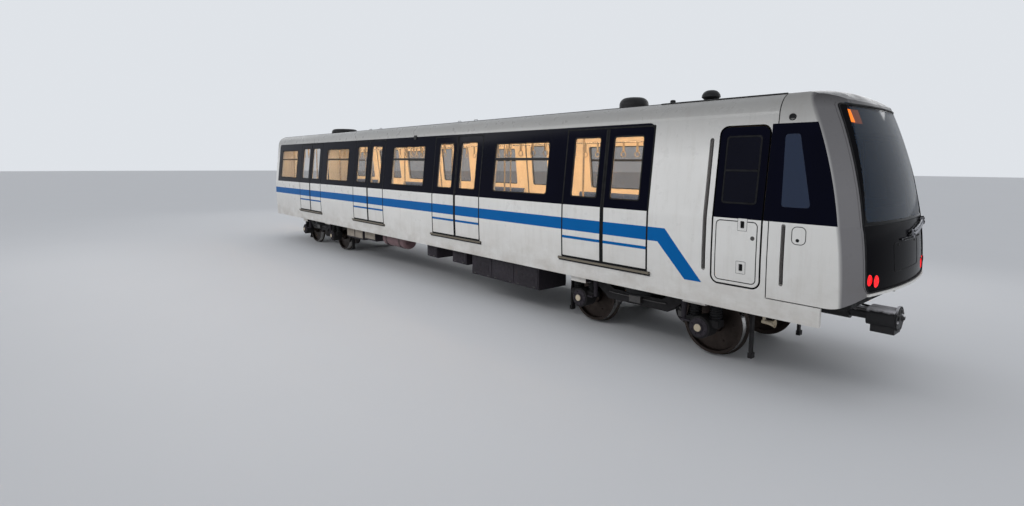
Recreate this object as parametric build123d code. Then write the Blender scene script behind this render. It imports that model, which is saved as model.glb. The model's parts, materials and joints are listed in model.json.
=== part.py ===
from build123d import *
import os
from math import atan2, cos, degrees, radians, sin, sqrt

# A leading metro car: +X is the cab end, +Y the left side, Z=0 the lowest point of the wheel flanges.
# All sizes are in millimetres.

# Driving sizes of the car
LENGTH = 18200          # from the folded gangway's free end to the front rim
WAIST_Y = 1400          # half width of the body at the waist
FLANGE = 28             # the flanges reach this far below the rail's top
FLOOR_Z = 1100 + FLANGE # saloon floor and door threshold
SKIRT_Z = FLOOR_Z - 285 # lower edge of the side skirts
CROWN_Z = FLOOR_Z + 2355
DOOR_PITCH = 3750
NOSE_X = LENGTH / 2
DOOR1_X = NOSE_X - 3480 # centre of the foremost passenger door
REAR_X = DOOR1_X - 14280
GANGWAY_END_X = -LENGTH / 2

# Cross section of the body
SKIRT_Y = 1374
WAIST_LOW_Z = 1500
WAIST_Z = 1935
CORNER_Y = 1243
CORNER_Z = 3385
CANT_RADIUS = 290
WAIST_RADIUS = 500
WALL = 60
ROOF_SPLIT_Z = 3200

# Passenger doors, side windows and their glass
DOOR_XS = [DOOR1_X - i * DOOR_PITCH for i in range(4)]
DOOR_W = 1622
DOOR_TOP_Z = FLOOR_Z + 1992
LEAF_T = 38
SEAL = 22
SEAL_MID = 60
LEAF_GLASS_IN = 118
LEAF_GLASS_OUT = 645
GLASS_LOW_Z = FLOOR_Z + 958
WINDOW_TOP_Z = FLOOR_Z + 1815
DOOR_GLASS_TOP_Z = FLOOR_Z + 1862
WINDOW_W = 1390
WINDOW_XS = [DOOR1_X - (i + 0.5) * DOOR_PITCH for i in range(3)] + [DOOR1_X - 13080]
GLASS_T = 8
GLASS_SET = 2
SILL_Y = 1420
SILL_H = 30
SILL_W = 1720

# Cab: panel joint, side door, side window and front surface
SEAM_X = DOOR1_X + 2440
SHELL_LOW_Z = FLOOR_Z - 55
CAB_SKIRT_END_X = DOOR1_X + 3020
CAB_DOOR_X0 = DOOR1_X + 1740
CAB_DOOR_X1 = DOOR1_X + 2370
CAB_DOOR_Z0 = FLOOR_Z + 10
CAB_DOOR_Z1 = FLOOR_Z + 1930
CAB_DOOR_GAP = 22
CAB_DOOR_CORNER = 110
CAB_HINGE_Y = 1226
HINGE_R = 13
CAB_HINGE_ZS = [FLOOR_Z + 330, FLOOR_Z + 1120, FLOOR_Z + 1640]
CAB_GLASS_Z0 = FLOOR_Z + 1000
CAB_GLASS_Z1 = FLOOR_Z + 1811
CAB_WALL = 50
FRONT_R = 5700
FRONT_CX = DOOR1_X - 2242
FRONT_CZ = FLOOR_Z - 6
RIM_Z = FLOOR_Z + 105
FRONT_SPLIT_Z = FLOOR_Z + 830
FRONT_TOP_Z = FLOOR_Z + 2160
FRONT_HALF_LOW = 1125
FRONT_HALF_TOP = 985
FRONT_CORNER_LOW = 120
FRONT_CORNER_TOP = 55
FRONT_GLASS_T = 14
FRONT_PANEL_T = 40
RIM_H = 26
BEVEL_Y = 1104
CREASE_DROP = 253
BROW_X = DOOR1_X + 2590
BROW_R = 620
BROW_START = 3
BROW_TURN = 50
BROW_REACH = 700
SEAM_GAP = 12

# Dark glazing bonded flush into the wall, grab handles in their channels, and grooves in the skin
DARK_T = 6
DARK_Z0 = FLOOR_Z + 830
DARK_Z1 = FLOOR_Z + 2020
DARK_CORNER = 110
DARK_REAR_X = REAR_X + 230
HANDLE_X = DOOR1_X + 1646
CAB_HANDLE_X = DOOR1_X + 2600
GROOVE = 8
GROOVE_DEPTH = 4
HATCH = (DOOR1_X + 2690, DOOR1_X + 2844, FLOOR_Z + 594, FLOOR_Z + 797, 58)
# columns: x from the foremost door's centre, lowest height from the floor, highest
JACK_PADS = [(-660, -360, -370), (1330, 1650, -320), (-12060, -11760, -370), (-10400, -10080, -320)]

# Bogies and wheels
BOGIE_XS = {"front": DOOR1_X + 440, "rear": DOOR1_X + 440 - 11750}
WHEELBASE = 2100
WHEEL_R = 430
FLANGE_R = WHEEL_R + FLANGE
AXLE_Z = FLANGE_R
BACK_Y = 680
WHEEL_W = 135
JOURNAL_R = 60
BOX_Y0 = 930
BOX_Y1 = 1160
BEAM_Y = 1000
MOTOR_X = 520
MOTOR_Z = 468
MOTOR_R = 200
PIVOT_R = 62

# Underframe and inside
FLOOR_T = 60
SILL_LOW_Z = 965
CEILING_Z = 3195
BULKHEAD_X = DOOR1_X + 1500
BULKHEAD_T = 50

# Further out than any side of the car, and higher than its roof
REACH = 1500
SKY = 4000

PARTS = {}


def block(x0, x1, y0, y1, z0, z1):
    """A box given by its limits."""
    return Pos((x0 + x1) / 2, (y0 + y1) / 2, (z0 + z1) / 2) * Box(abs(x1 - x0), abs(y1 - y0), abs(z1 - z0))


def both(shape):
    """A shape and its mirror image on the other side of the car."""
    return [shape, mirror(shape, about=Plane.XZ)]


def across(face, reach=2000):
    """A face drawn in X and Z, carried through the car from side to side."""
    return extrude(Plane.XZ * face, amount=reach, both=True)


def window_cutter(x0, x1, z0, z1, corner):
    """A rounded rectangle in X and Z, carried across the car."""
    return across(Pos((x0 + x1) / 2, (z0 + z1) / 2) * RectangleRounded(x1 - x0, z1 - z0, corner))


def tube_y(x, z, radius, y0, y1):
    """A cylinder along Y."""
    return Pos(x, (y0 + y1) / 2, z) * Rot(90, 0, 0) * Cylinder(radius, abs(y1 - y0))


def tube_x(y, z, radius, x0, x1):
    """A cylinder along X."""
    return Pos((x0 + x1) / 2, y, z) * Rot(0, 90, 0) * Cylinder(radius, abs(x1 - x0))


def arch_cutter(x0, x1, z0, z1, corner):
    """A rectangle in X and Z with its two upper corners rounded, carried across the car."""
    face = Pos((x0 + x1) / 2, (z0 + z1) / 2) * Rectangle(x1 - x0, z1 - z0)
    return across(fillet(face.vertices().group_by(Axis.Y)[-1], corner))


def post(x, y, radius, z0, z1):
    """A cylinder along Z."""
    return Pos(x, y, (z0 + z1) / 2) * Cylinder(radius, z1 - z0)


def body_section(inset, bottom=SKIRT_Z):
    """The body's outline in Y and Z, set in from the outer skin by inset."""
    spread = (WAIST_Y - SKIRT_Y) * (WAIST_LOW_Z - bottom) / (WAIST_LOW_Z - SKIRT_Z)
    side = [(WAIST_Y - spread - inset, bottom), (WAIST_Y - inset, WAIST_LOW_Z), (WAIST_Y - inset, WAIST_Z)]
    corner = (CORNER_Y - inset, CORNER_Z - 0.88 * inset)
    right = Polyline(*[(y, z) for y, z in side], corner)
    left = Polyline(*[(-y, z) for y, z in side], (-corner[0], corner[1]))
    roof = ThreePointArc(corner, (0, CROWN_Z - inset), (-corner[0], corner[1]))
    base = Line((side[0][0], bottom), (-side[0][0], bottom))
    face = make_face([right, roof, left, base])
    top = face.vertices().filter_by(lambda v: abs(v.Y - corner[1]) < 1)
    face = fillet(top, CANT_RADIUS - inset)
    waist = face.vertices().filter_by(lambda v: abs(v.Y - WAIST_Z) < 1)
    return fillet(waist, WAIST_RADIUS)


def body_solid(inset, x0, x1, bottom=SKIRT_Z):
    """The body's section carried from x0 to x1."""
    return Pos(x0, 0, 0) * extrude(Plane.YZ * body_section(inset, bottom), amount=x1 - x0)


def body_ring(outer, inner, x0, x1):
    """The skin between two insets, open below."""
    return body_solid(outer, x0, x1) - body_solid(inner, x0 - 1, x1 + 1, SKIRT_Z - 50)


def below_skin(cutter, depth):
    """The part of a cutter that lies less than depth inside the outer skin."""
    span = cutter.bounding_box()
    return cutter - body_solid(depth, span.min.X - 5, span.max.X + 5, SKIRT_Z - 5)


def skin_groove(x0, x1, z0, z1, corner):
    """A groove in the outer skin along a rounded rectangle."""
    ring = window_cutter(x0, x1, z0, z1, corner)
    ring = ring - window_cutter(x0 + GROOVE, x1 - GROOVE, z0 + GROOVE, z1 - GROOVE, corner - GROOVE)
    return below_skin(ring, GROOVE_DEPTH)


def grab_handle(x, z0, z1, half, depth):
    """The channel for a grab handle and the bar in it, on both sides of the car."""
    channel = below_skin(window_cutter(x - half, x + half, z0, z1, half - 1), depth)
    bar = window_cutter(x - half * 0.42, x + half * 0.42, z0 + 22, z1 - 22, 8)
    bar = bar & body_ring(3, 25, x - 60, x + 60)
    feet = [block(x - half * 0.6, x + half * 0.6, -REACH, REACH, z, z + 45) for z in (z0 + 22, z1 - 67)]
    feet = (feet[0] + feet[1]) & body_ring(6, depth, x - 60, x + 60)
    return channel, bar + feet


# Cutters shared by the walls and what fills them
def door_opening(x):
    return arch_cutter(x - DOOR_W / 2, x + DOOR_W / 2, FLOOR_Z, DOOR_TOP_Z, 80)


def door_leaves(x):
    low, high = FLOOR_Z + SEAL / 2, DOOR_TOP_Z - SEAL
    outer = DOOR_W / 2 - SEAL
    whole = arch_cutter(x - outer, x + outer, low, high, 80 - SEAL)
    return [whole & block(x + a, x + b, -REACH, REACH, low, high)
            for a, b in ((-outer, -SEAL_MID / 2), (SEAL_MID / 2, outer))]


def leaf_glass(x):
    return [window_cutter(x + min(a, b), x + max(a, b), GLASS_LOW_Z, DOOR_GLASS_TOP_Z, 45)
            for a, b in ((-LEAF_GLASS_OUT, -LEAF_GLASS_IN), (LEAF_GLASS_IN, LEAF_GLASS_OUT))]


def sill(x):
    return block(x - SILL_W / 2, x + SILL_W / 2, WAIST_Y - 75, SILL_Y, FLOOR_Z - SILL_H, FLOOR_Z)


side_windows = [window_cutter(x - WINDOW_W / 2, x + WINDOW_W / 2, GLASS_LOW_Z, WINDOW_TOP_Z, 50)
                for x in WINDOW_XS]
cab_door_hole = window_cutter(CAB_DOOR_X0, CAB_DOOR_X1, CAB_DOOR_Z0, CAB_DOOR_Z1, CAB_DOOR_CORNER)
cab_leaf = window_cutter(CAB_DOOR_X0 + CAB_DOOR_GAP, CAB_DOOR_X1 - CAB_DOOR_GAP,
                         CAB_DOOR_Z0 + CAB_DOOR_GAP, CAB_DOOR_Z1 - CAB_DOOR_GAP,
                         CAB_DOOR_CORNER - CAB_DOOR_GAP)
cab_door_glass = window_cutter(CAB_DOOR_X0 + 95, CAB_DOOR_X1 - 95, CAB_GLASS_Z0, CAB_GLASS_Z1, 45)
cab_side_glass = across(Polygon((DOOR1_X + 2553, CAB_GLASS_Z0), (DOOR1_X + 2862, CAB_GLASS_Z0),
                                (DOOR1_X + 2681, CAB_GLASS_Z1), (DOOR1_X + 2521, CAB_GLASS_Z1),
                                align=None))
cab_side_glass = fillet(cab_side_glass.edges().filter_by(Axis.Y), 35)
handle_channel, handle = grab_handle(HANDLE_X, FLOOR_Z + 150, FLOOR_Z + 1790, 27, 45)
cab_channel, cab_handle = grab_handle(CAB_HANDLE_X, FLOOR_Z + 106, FLOOR_Z + 810, 23, 34)

# Dark glazing: the band over the saloon's side, and the one from the cab door to the front crease
dark_band = arch_cutter(DARK_REAR_X, DOOR1_X + DOOR_W / 2, DARK_Z0, DARK_Z1, DARK_CORNER)
dark_band = below_skin(dark_band, DARK_T)
cab_dark = below_skin(block(CAB_DOOR_X1, NOSE_X, -REACH, REACH, DARK_Z0, CAB_DOOR_Z1), DARK_T)


# Side walls, with the skirt, door openings and windows
def side_walls():
    wall = body_ring(0, WALL, REAR_X + 80, SEAM_X)
    wall = wall & block(REAR_X, SEAM_X, -REACH, REACH, SKIRT_Z, ROOF_SPLIT_Z)
    skirt = body_ring(0, CAB_WALL - 5, SEAM_X, CAB_SKIRT_END_X)
    skirt = skirt & block(SEAM_X, CAB_SKIRT_END_X, -REACH, REACH, SKIRT_Z, SHELL_LOW_Z - SEAM_GAP)
    wall = wall + skirt
    for x in DOOR_XS:
        wall = wall - door_opening(x) - both(sill(x))
    for cutter in side_windows + [cab_door_hole, dark_band, cab_dark, handle_channel]:
        wall = wall - cutter
    return wall


seam_groove = block(SEAM_X - SEAM_GAP, SEAM_X, -REACH, REACH, SHELL_LOW_Z - SEAM_GAP, SKY)
seam_groove = seam_groove - body_solid(8, SEAM_X - 200, SEAM_X + 200)
walls = side_walls() - seam_groove
PARTS["side_walls"] = walls
dark = body_ring(0, DARK_T, REAR_X, SEAM_X) & dark_band
for x in DOOR_XS:
    dark = dark - door_opening(x)
for cutter in side_windows:
    dark = dark - cutter
dark_panes = list(dark.solids())

# Roof shell with two low equipment covers and their round vents
roof = body_ring(0, WALL, REAR_X + 80, SEAM_X) & block(REAR_X, SEAM_X, -REACH, REACH, ROOF_SPLIT_Z, SKY)
COVER_XS = [DOOR1_X - 4700, DOOR1_X - 9000]
COVER_LEN = 2600
COVER_HALF = 520
COVER_RISE = 12
VENT_R = 200
for x in COVER_XS:
    cover = body_ring(-COVER_RISE, WALL - 10, x - COVER_LEN / 2, x + COVER_LEN / 2)
    roof = roof + (cover & block(x - COVER_LEN, x + COVER_LEN, -COVER_HALF, COVER_HALF, ROOF_SPLIT_Z, SKY))
    for dx in (-760, 760):
        for y in (-260, 260):
            vent = post(x + dx, y, VENT_R, ROOF_SPLIT_Z, SKY)
            roof = roof - (vent - body_solid(22, x - COVER_LEN, x + COVER_LEN))
roof = roof - seam_groove
PARTS["roof"] = roof

# Sliding door leaves, their rubber frames and sills
leaf_skin = body_ring(0, LEAF_T, REAR_X, SEAM_X)
seal_skin = body_ring(3, 33, REAR_X, SEAM_X)
pane_skin = body_ring(GLASS_SET, GLASS_SET + GLASS_T, REAR_X, SEAM_X)
leaves, seals, sills, panes = [], [], [], []
for x in DOOR_XS:
    strip = block(x - DOOR_W, x + DOOR_W, -REACH, REACH, SKIRT_Z, ROOF_SPLIT_Z)
    rubber = (seal_skin & strip) & door_opening(x)
    for leaf, glass in zip(door_leaves(x), leaf_glass(x)):
        upper = below_skin(leaf & block(x - DOOR_W, x + DOOR_W, -REACH, REACH, DARK_Z0, ROOF_SPLIT_Z), DARK_T)
        leaves += ((leaf_skin & strip & leaf) - glass - upper).solids()
        dark_panes += ((leaf_skin & upper) - glass).solids()
        panes += (pane_skin & strip & glass).solids()
        rubber = rubber - leaf
    seals += rubber.solids()
    sills += both(sill(x))
for cutter in side_windows:
    panes += (pane_skin & cutter).solids()
PARTS["passenger_doors"] = Compound(leaves)
PARTS["door_seals"] = Compound(seals)
PARTS["door_sills"] = Compound(sills)


# Cab shell: the body's section cut by the round front, the sloping top and two corner bevels
def corner_bevel(inset):
    """What the bevel takes off the right front corner below the waist and, leaning in, above it."""
    crease_r, edge_r = FRONT_R - CREASE_DROP - inset, sqrt(FRONT_R ** 2 - BEVEL_Y ** 2) - inset
    crease_y, edge_y = WAIST_Y - inset * 0.62, BEVEL_Y - inset * 0.62
    slope = (edge_r - crease_r) / (crease_y - edge_y)
    far = 400
    profile = Polygon((crease_r - slope * far, crease_y + far), (edge_r + slope * far, edge_y - far),
                      (edge_r + 2 * far, edge_y - far), (edge_r + 2 * far, crease_y + far), align=None)
    tool = revolve(Plane.XY * profile, axis=Axis.Y, revolution_arc=70)
    tool = Pos(FRONT_CX, 0, FRONT_CZ) * Rot(0, -45, 0) * tool
    lean = degrees(atan2(WAIST_Y - CORNER_Y, CORNER_Z - WAIST_Z))
    pivot = Pos(0, WAIST_Y, WAIST_Z)
    lower = tool & block(0, LENGTH, 0, 2 * REACH, -SKY, WAIST_Z)
    upper = tool & block(0, LENGTH, 0, 2 * REACH, WAIST_Z - 60, 2 * SKY)
    upper = pivot * Rot(lean, 0, 0) * pivot.inverse() * upper
    return [lower, upper & block(0, LENGTH, 0, 2 * REACH, WAIST_Z, 2 * SKY)]


def brow(inset):
    """What the round brow takes off above the windscreen, following the roof's camber."""
    camber_r = (CORNER_Y ** 2 + (CROWN_Z - CORNER_Z) ** 2) / (2 * (CROWN_Z - CORNER_Z))
    high, radius = CROWN_Z + BROW_START - inset, BROW_R - inset
    turn = radians(BROW_TURN)
    end = (BROW_X + radius * sin(turn), high - radius * (1 - cos(turn)))
    half = (BROW_X + radius * sin(turn / 2), high - radius * (1 - cos(turn / 2)))
    far = (end[0] + BROW_REACH * cos(turn), end[1] - BROW_REACH * sin(turn))
    top = high + BROW_REACH / 2
    face = make_face([
        ThreePointArc((BROW_X, high), half, end), Line(end, far), Line(far, (far[0], top)),
        Line((far[0], top), (BROW_X, top)), Line((BROW_X, top), (BROW_X, high)),
    ])
    axis_z = CROWN_Z - camber_r
    tool = revolve(Plane.XZ * face, axis=Axis((0, 0, axis_z), (1, 0, 0)), revolution_arc=40)
    centre = Pos(0, 0, axis_z)
    return centre * Rot(20 if tool.center().Y > 0 else -20, 0, 0) * centre.inverse() * tool


def front_ball(rise):
    """The ball whose skin is the round front, larger by the rise."""
    return Pos(FRONT_CX, 0, FRONT_CZ) * Sphere(FRONT_R + rise)


def nose(inset, x0=SEAM_X):
    """The closed form of the cab end, set in from its outer skin."""
    form = body_solid(inset, x0, NOSE_X + 200, SHELL_LOW_Z - 200)
    form = form & front_ball(-inset)
    form = form - brow(inset)
    for tool in corner_bevel(inset):
        form = form - both(tool)
    return form


front_outline = Polygon((FRONT_HALF_LOW, RIM_Z), (FRONT_HALF_LOW, FRONT_SPLIT_Z),
                        (FRONT_HALF_TOP, FRONT_TOP_Z), (-FRONT_HALF_TOP, FRONT_TOP_Z),
                        (-FRONT_HALF_LOW, FRONT_SPLIT_Z), (-FRONT_HALF_LOW, RIM_Z), align=None)
front_outline = fillet(front_outline.vertices().group_by(Axis.Y)[-1], FRONT_CORNER_TOP)
front_outline = fillet(front_outline.vertices().group_by(Axis.Y)[0], FRONT_CORNER_LOW)
front_hole = Pos(NOSE_X - REACH, 0, 0) * extrude(Plane.YZ * front_outline, amount=2 * REACH)
under_cut = across(make_face([
    Line((SEAM_X - 10, SKIRT_Z - 300), (SEAM_X - 10, SHELL_LOW_Z)),
    Line((SEAM_X - 10, SHELL_LOW_Z), (DOOR1_X + 3050, SHELL_LOW_Z)),
    ThreePointArc((DOOR1_X + 3050, SHELL_LOW_Z), (DOOR1_X + 3235, SHELL_LOW_Z + 40),
                  (DOOR1_X + 3360, RIM_Z - RIM_H)),
    Line((DOOR1_X + 3360, RIM_Z - RIM_H), (NOSE_X + 300, RIM_Z - RIM_H)),
    Line((NOSE_X + 300, RIM_Z - RIM_H), (NOSE_X + 300, SKIRT_Z - 300)),
    Line((NOSE_X + 300, SKIRT_Z - 300), (SEAM_X - 10, SKIRT_Z - 300)),
]))
outer_nose = nose(0)
inner_nose = nose(CAB_WALL, SEAM_X - 10)
shell = outer_nose - inner_nose
shell = shell - front_hole - under_cut
for cutter in (cab_side_glass, cab_channel, skin_groove(*HATCH)):
    shell = shell - cutter
cab_pane = (outer_nose + (body_ring(0, WALL, CAB_DOOR_X1, SEAM_X))) & cab_dark
dark_panes += (cab_pane - front_hole - cab_side_glass).solids()
shell = shell - cab_dark

# Front glass and the closed panel below it
front_skin = (nose(0) - front_ball(-FRONT_GLASS_T)) & front_hole
PARTS["windscreen"] = front_skin & block(0, LENGTH, -REACH, REACH, FRONT_SPLIT_Z + 3, SKY)
lower_skin = (nose(0, SEAM_X + 300) - nose(FRONT_PANEL_T, SEAM_X + 100)) & front_hole
PARTS["front_panel"] = lower_skin & block(0, LENGTH, -REACH, REACH, 0, FRONT_SPLIT_Z - 3)
rim_skin = front_ball(NOSE_X - FRONT_CX - FRONT_R) - front_ball(-FRONT_PANEL_T)
rim_box = block(0, LENGTH, -FRONT_HALF_LOW + 60, FRONT_HALF_LOW - 60, RIM_Z - RIM_H, RIM_Z)
PARTS["front_rim"] = rim_skin & rim_box
PARTS["cab_shell"] = shell - rim_box
panes += (body_ring(GLASS_SET, GLASS_SET + GLASS_T, SEAM_X, NOSE_X) & cab_side_glass).solids()
PARTS["side_glass"] = Compound(panes)
PARTS["dark_glazing"] = Compound(dark_panes)
PARTS["handrails"] = Compound(handle.solids() + cab_handle.solids())

# Round red lamps in the lower front panel, two at each side
# columns: distance from the middle, height above the floor, radius
LAMPS = [(1034, 252, 62), (898, 228, 68)]
lamp_ring = front_ball(4) - front_ball(-22)
lamps = []
for y, dz, radius in LAMPS:
    lens = tube_x(y, FLOOR_Z + dz, radius, NOSE_X - 400, NOSE_X + 100)
    for tool in both(lens):
        PARTS["front_panel"] = PARTS["front_panel"] - tool
        lamps += (tool & lamp_ring).solids()
PARTS["front_lamps"] = Compound(lamps)


# Wiper: spindle casting on the left, two links to the blade's carrier, and the blade parked level
def on_front(face, low, high):
    """A face drawn in Y and Z, carried onto the round front between two heights over it."""
    through = Pos(NOSE_X - 400, 0, 0) * extrude(Plane.YZ * face, amount=600)
    return through & (front_ball(high) - front_ball(low))


def link(start, end, width):
    """A flat bar between two points in Y and Z, with round ends."""
    span = sqrt((end[0] - start[0]) ** 2 + (end[1] - start[1]) ** 2)
    turn = degrees(atan2(end[1] - start[1], end[0] - start[0]))
    bar = RectangleRounded(span + width, width, width * 0.45)
    return Pos(*start) * Rot(0, 0, turn) * Pos(span / 2, 0) * bar


WIPER_PIVOT = (930, FLOOR_Z + 748)
WIPER_TIP = (160, FLOOR_Z + 655)
LINK_RISE = 42
BLADE_LEN = 700
pivot_y, pivot_z = WIPER_PIVOT
tip_y, tip_z = WIPER_TIP
wiper = on_front(link(WIPER_PIVOT, WIPER_TIP, 34), 26, 38)
wiper = wiper + on_front(link((pivot_y, pivot_z + LINK_RISE), (tip_y, tip_z + LINK_RISE), 16), 26, 36)
wiper = wiper + on_front(Pos(pivot_y, pivot_z + LINK_RISE / 2) * RectangleRounded(76, 96, 20), 0, 44)
wiper = wiper + on_front(Pos(tip_y, tip_z + LINK_RISE / 2) * RectangleRounded(60, 86, 16), 24, 42)
wiper = wiper + on_front(Pos(tip_y, tip_z - 30) * RectangleRounded(BLADE_LEN, 20, 9), 3, 26)
wiper = wiper + on_front(Pos(tip_y, tip_z - 24) * Circle(14), 10, 42)
PARTS["wiper"] = wiper

# Cab side doors with their glass, toe steps and lock
CAB_STEP_X = DOOR1_X + 2129
CAB_LOCK_X = DOOR1_X + 2257
STEP_ZS = [FLOOR_Z + 763, FLOOR_Z + 251]
STEP_W, STEP_H = 50, 86
HINGE_X = CAB_DOOR_X0 + CAB_DOOR_GAP
knuckles = []
for side, sign in (("right", -1), ("left", 1)):
    half = block(0, LENGTH, 0, sign * REACH, 0, SKY)
    leaf = (body_ring(0, LEAF_T, CAB_DOOR_X0 - 50, CAB_DOOR_X1 + 50) & cab_leaf & half) - cab_door_glass
    upper = below_skin(block(CAB_DOOR_X0, CAB_DOOR_X1, -REACH, REACH, DARK_Z0, CAB_DOOR_Z1), DARK_T)
    PARTS[f"cab_door_trim_{side}"] = leaf & upper
    leaf = leaf - upper
    step = CAB_DOOR_GAP + 34
    leaf = leaf - skin_groove(CAB_DOOR_X0 + step, CAB_DOOR_X1 - step, CAB_DOOR_Z0 + step, DARK_Z0 - 25, 60)
    for z in STEP_ZS:
        toe = Pos(CAB_STEP_X, 0, z) * window_cutter(-STEP_W / 2, STEP_W / 2, -STEP_H / 2, STEP_H / 2, 12)
        leaf = leaf - below_skin(toe, 18)
    leaf = leaf - below_skin(tube_y(CAB_LOCK_X, FLOOR_Z + 612, 26, -REACH, REACH), 3)
    low_y, high_y = sign * (CAB_HINGE_Y - 10), sign * (CAB_HINGE_Y + 10)
    for z in CAB_HINGE_ZS:
        arm = block(HINGE_X, HINGE_X + 32, sign * CAB_HINGE_Y, sign * REACH, z - 26, z + 26)
        arm = arm & body_solid(LEAF_T, HINGE_X - 50, HINGE_X + 100)
        leaf = leaf + arm + post(HINGE_X, sign * CAB_HINGE_Y, HINGE_R, z - 30, z + 30)
        for z0, z1 in ((z - 62, z - 36), (z + 36, z + 62)):
            bracket = block(HINGE_X - 95, HINGE_X, low_y, high_y, z0, z1)
            plate = block(HINGE_X - 95, HINGE_X - 60, low_y, sign * REACH, z0, z1)
            bracket = bracket + (plate & body_solid(WALL, HINGE_X - 200, HINGE_X))
            knuckles.append(bracket + post(HINGE_X, sign * CAB_HINGE_Y, HINGE_R, z0, z1))
    PARTS[f"cab_door_{side}"] = leaf
    PARTS[f"cab_door_glass_{side}"] = pane_skin & cab_door_glass & half

# Floor and underframe
floor = body_solid(WALL, REAR_X + 80, SEAM_X, SKIRT_Z - 60) + nose(CAB_WALL)
floor = floor & block(REAR_X + 80, DOOR1_X + 3250, -REACH, REACH, FLOOR_Z - FLOOR_T, FLOOR_Z)
for x in DOOR_XS:
    floor = floor - both(sill(x))
frame = floor
CROSS_XS = [REAR_X + 200 + i * 1180 for i in range(14)]
for x in CROSS_XS:
    frame = frame + block(x, x + 90, -1240, 1240, SILL_LOW_Z, FLOOR_Z - FLOOR_T)
for y in (-1240, -430, 330, 1140):
    frame = frame + block(REAR_X + 120, DOOR1_X + 2900, y, y + 100, SILL_LOW_Z, FLOOR_Z - FLOOR_T)
for x in BOGIE_XS.values():
    frame = frame + block(x - 420, x + 420, -1240, 1240, SILL_LOW_Z, FLOOR_Z - FLOOR_T)
PARTS["underframe"] = frame
PARTS["centre_pivots"] = Compound([post(x, 0, PIVOT_R, 520, SILL_LOW_Z) for x in BOGIE_XS.values()])

# Rear end wall with the gangway opening, and the folded bellows
GANGWAY_HALF = 480
GANGWAY_TOP_Z = FLOOR_Z + 1960
end = body_solid(0, REAR_X, REAR_X + 80, SKIRT_Z)
end = fillet(end.faces().sort_by(Axis.X)[0].edges(), 30)
end = end - block(REAR_X - 10, REAR_X + 90, -GANGWAY_HALF, GANGWAY_HALF, FLOOR_Z, GANGWAY_TOP_Z)
end = end - block(REAR_X - 10, REAR_X + 90, -900, 900, 0, SILL_LOW_Z)
PARTS["rear_end_wall"] = end
FOLDS = 6
folds = []
pitch = (REAR_X - GANGWAY_END_X) / FOLDS
for i in range(FOLDS):
    x0 = GANGWAY_END_X + i * pitch
    for a, b, grow in ((0, 0.5, 0), (0.5, 1, 55)):
        half, top = GANGWAY_HALF + 70 + grow, GANGWAY_TOP_Z + 70 + grow
        ring = block(x0 + a * pitch, x0 + b * pitch, -half, half, FLOOR_Z - 70 - grow, top)
        folds.append(ring)
bellows = folds[0].fuse(*folds[1:])
passage = block(GANGWAY_END_X - 5, REAR_X + 5, -GANGWAY_HALF, GANGWAY_HALF, FLOOR_Z + 20, GANGWAY_TOP_Z)
bellows = bellows - passage
PARTS["gangway_bellows"] = bellows

# Saloon: ceiling, lights, benches and poles
ceiling = body_solid(WALL, REAR_X + 80, BULKHEAD_X, SKIRT_Z)
PARTS["ceiling"] = ceiling & block(REAR_X + 80, BULKHEAD_X, -REACH, REACH, CEILING_Z, CEILING_Z + 20)
light = block(REAR_X + 400, BULKHEAD_X - 300, 420, 600, CEILING_Z - 16, CEILING_Z)
PARTS["ceiling_lights"] = Compound(both(light))
SEAT_FRONT_Y = 860
BENCH_LEN = 1960
bench_profile = Polygon((SEAT_FRONT_Y + 60, FLOOR_Z), (SEAT_FRONT_Y + 60, FLOOR_Z + 330),
                        (SEAT_FRONT_Y, FLOOR_Z + 350), (SEAT_FRONT_Y, FLOOR_Z + 430),
                        (1230, FLOOR_Z + 410), (1270, FLOOR_Z + 860), (1318, FLOOR_Z + 870),
                        (1318, FLOOR_Z), align=None)
benches = []
for x in WINDOW_XS:
    bench = Pos(x, 0, 0) * extrude(Plane.YZ * bench_profile, amount=BENCH_LEN / 2, both=True)
    bench = bench & body_solid(WALL, REAR_X + 80, SEAM_X)
    benches += both(bench)
PARTS["benches"] = Compound(benches)
POLE_R = 16
POLE_Y = 830
RAIL_Y = 885
RAIL_Z = FLOOR_Z + 1880
poles = both(tube_x(RAIL_Y, RAIL_Z, POLE_R, REAR_X + 80, BULKHEAD_X))
for x in WINDOW_XS:
    for dx in (-BENCH_LEN / 2 - 22, BENCH_LEN / 2 + 22):
        poles += both(post(x + dx, POLE_Y, POLE_R, FLOOR_Z, CEILING_Z))
PARTS["grab_poles"] = Compound(poles)

# Bulkhead between cab and saloon, with its door
BULK_DOOR_HALF = 330
BULK_DOOR_TOP = FLOOR_Z + 1920
bulk = body_solid(WALL, BULKHEAD_X, BULKHEAD_X + BULKHEAD_T) & block(0, LENGTH, -REACH, REACH, FLOOR_Z, SKY)
bulk = bulk - block(0, LENGTH, -BULK_DOOR_HALF, BULK_DOOR_HALF, FLOOR_Z - 5, BULK_DOOR_TOP)
PARTS["cab_bulkhead"] = bulk
bulk_door = block(BULKHEAD_X, BULKHEAD_X + 38, -BULK_DOOR_HALF + 8, BULK_DOOR_HALF - 8,
                  FLOOR_Z + 10, BULK_DOOR_TOP - 8)
BULK_HINGE = (BULKHEAD_X - 6, BULK_DOOR_HALF - 8)
for z in (FLOOR_Z + 250, FLOOR_Z + 1000, FLOOR_Z + 1700):
    bulk_door = bulk_door + post(*BULK_HINGE, 9, z - 30, z + 30)
    for z0, z1 in ((z - 62, z - 36), (z + 36, z + 62)):
        bulk_door = bulk_door - post(*BULK_HINGE, 15, z0 - 6, z1 + 6)
        plate = block(BULK_HINGE[0], BULKHEAD_X, BULK_HINGE[1], BULK_HINGE[1] + 60, z0, z1)
        knuckles.append(post(*BULK_HINGE, 9, z0, z1) + (plate - post(*BULK_HINGE, 8, z0, z1)))
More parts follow.
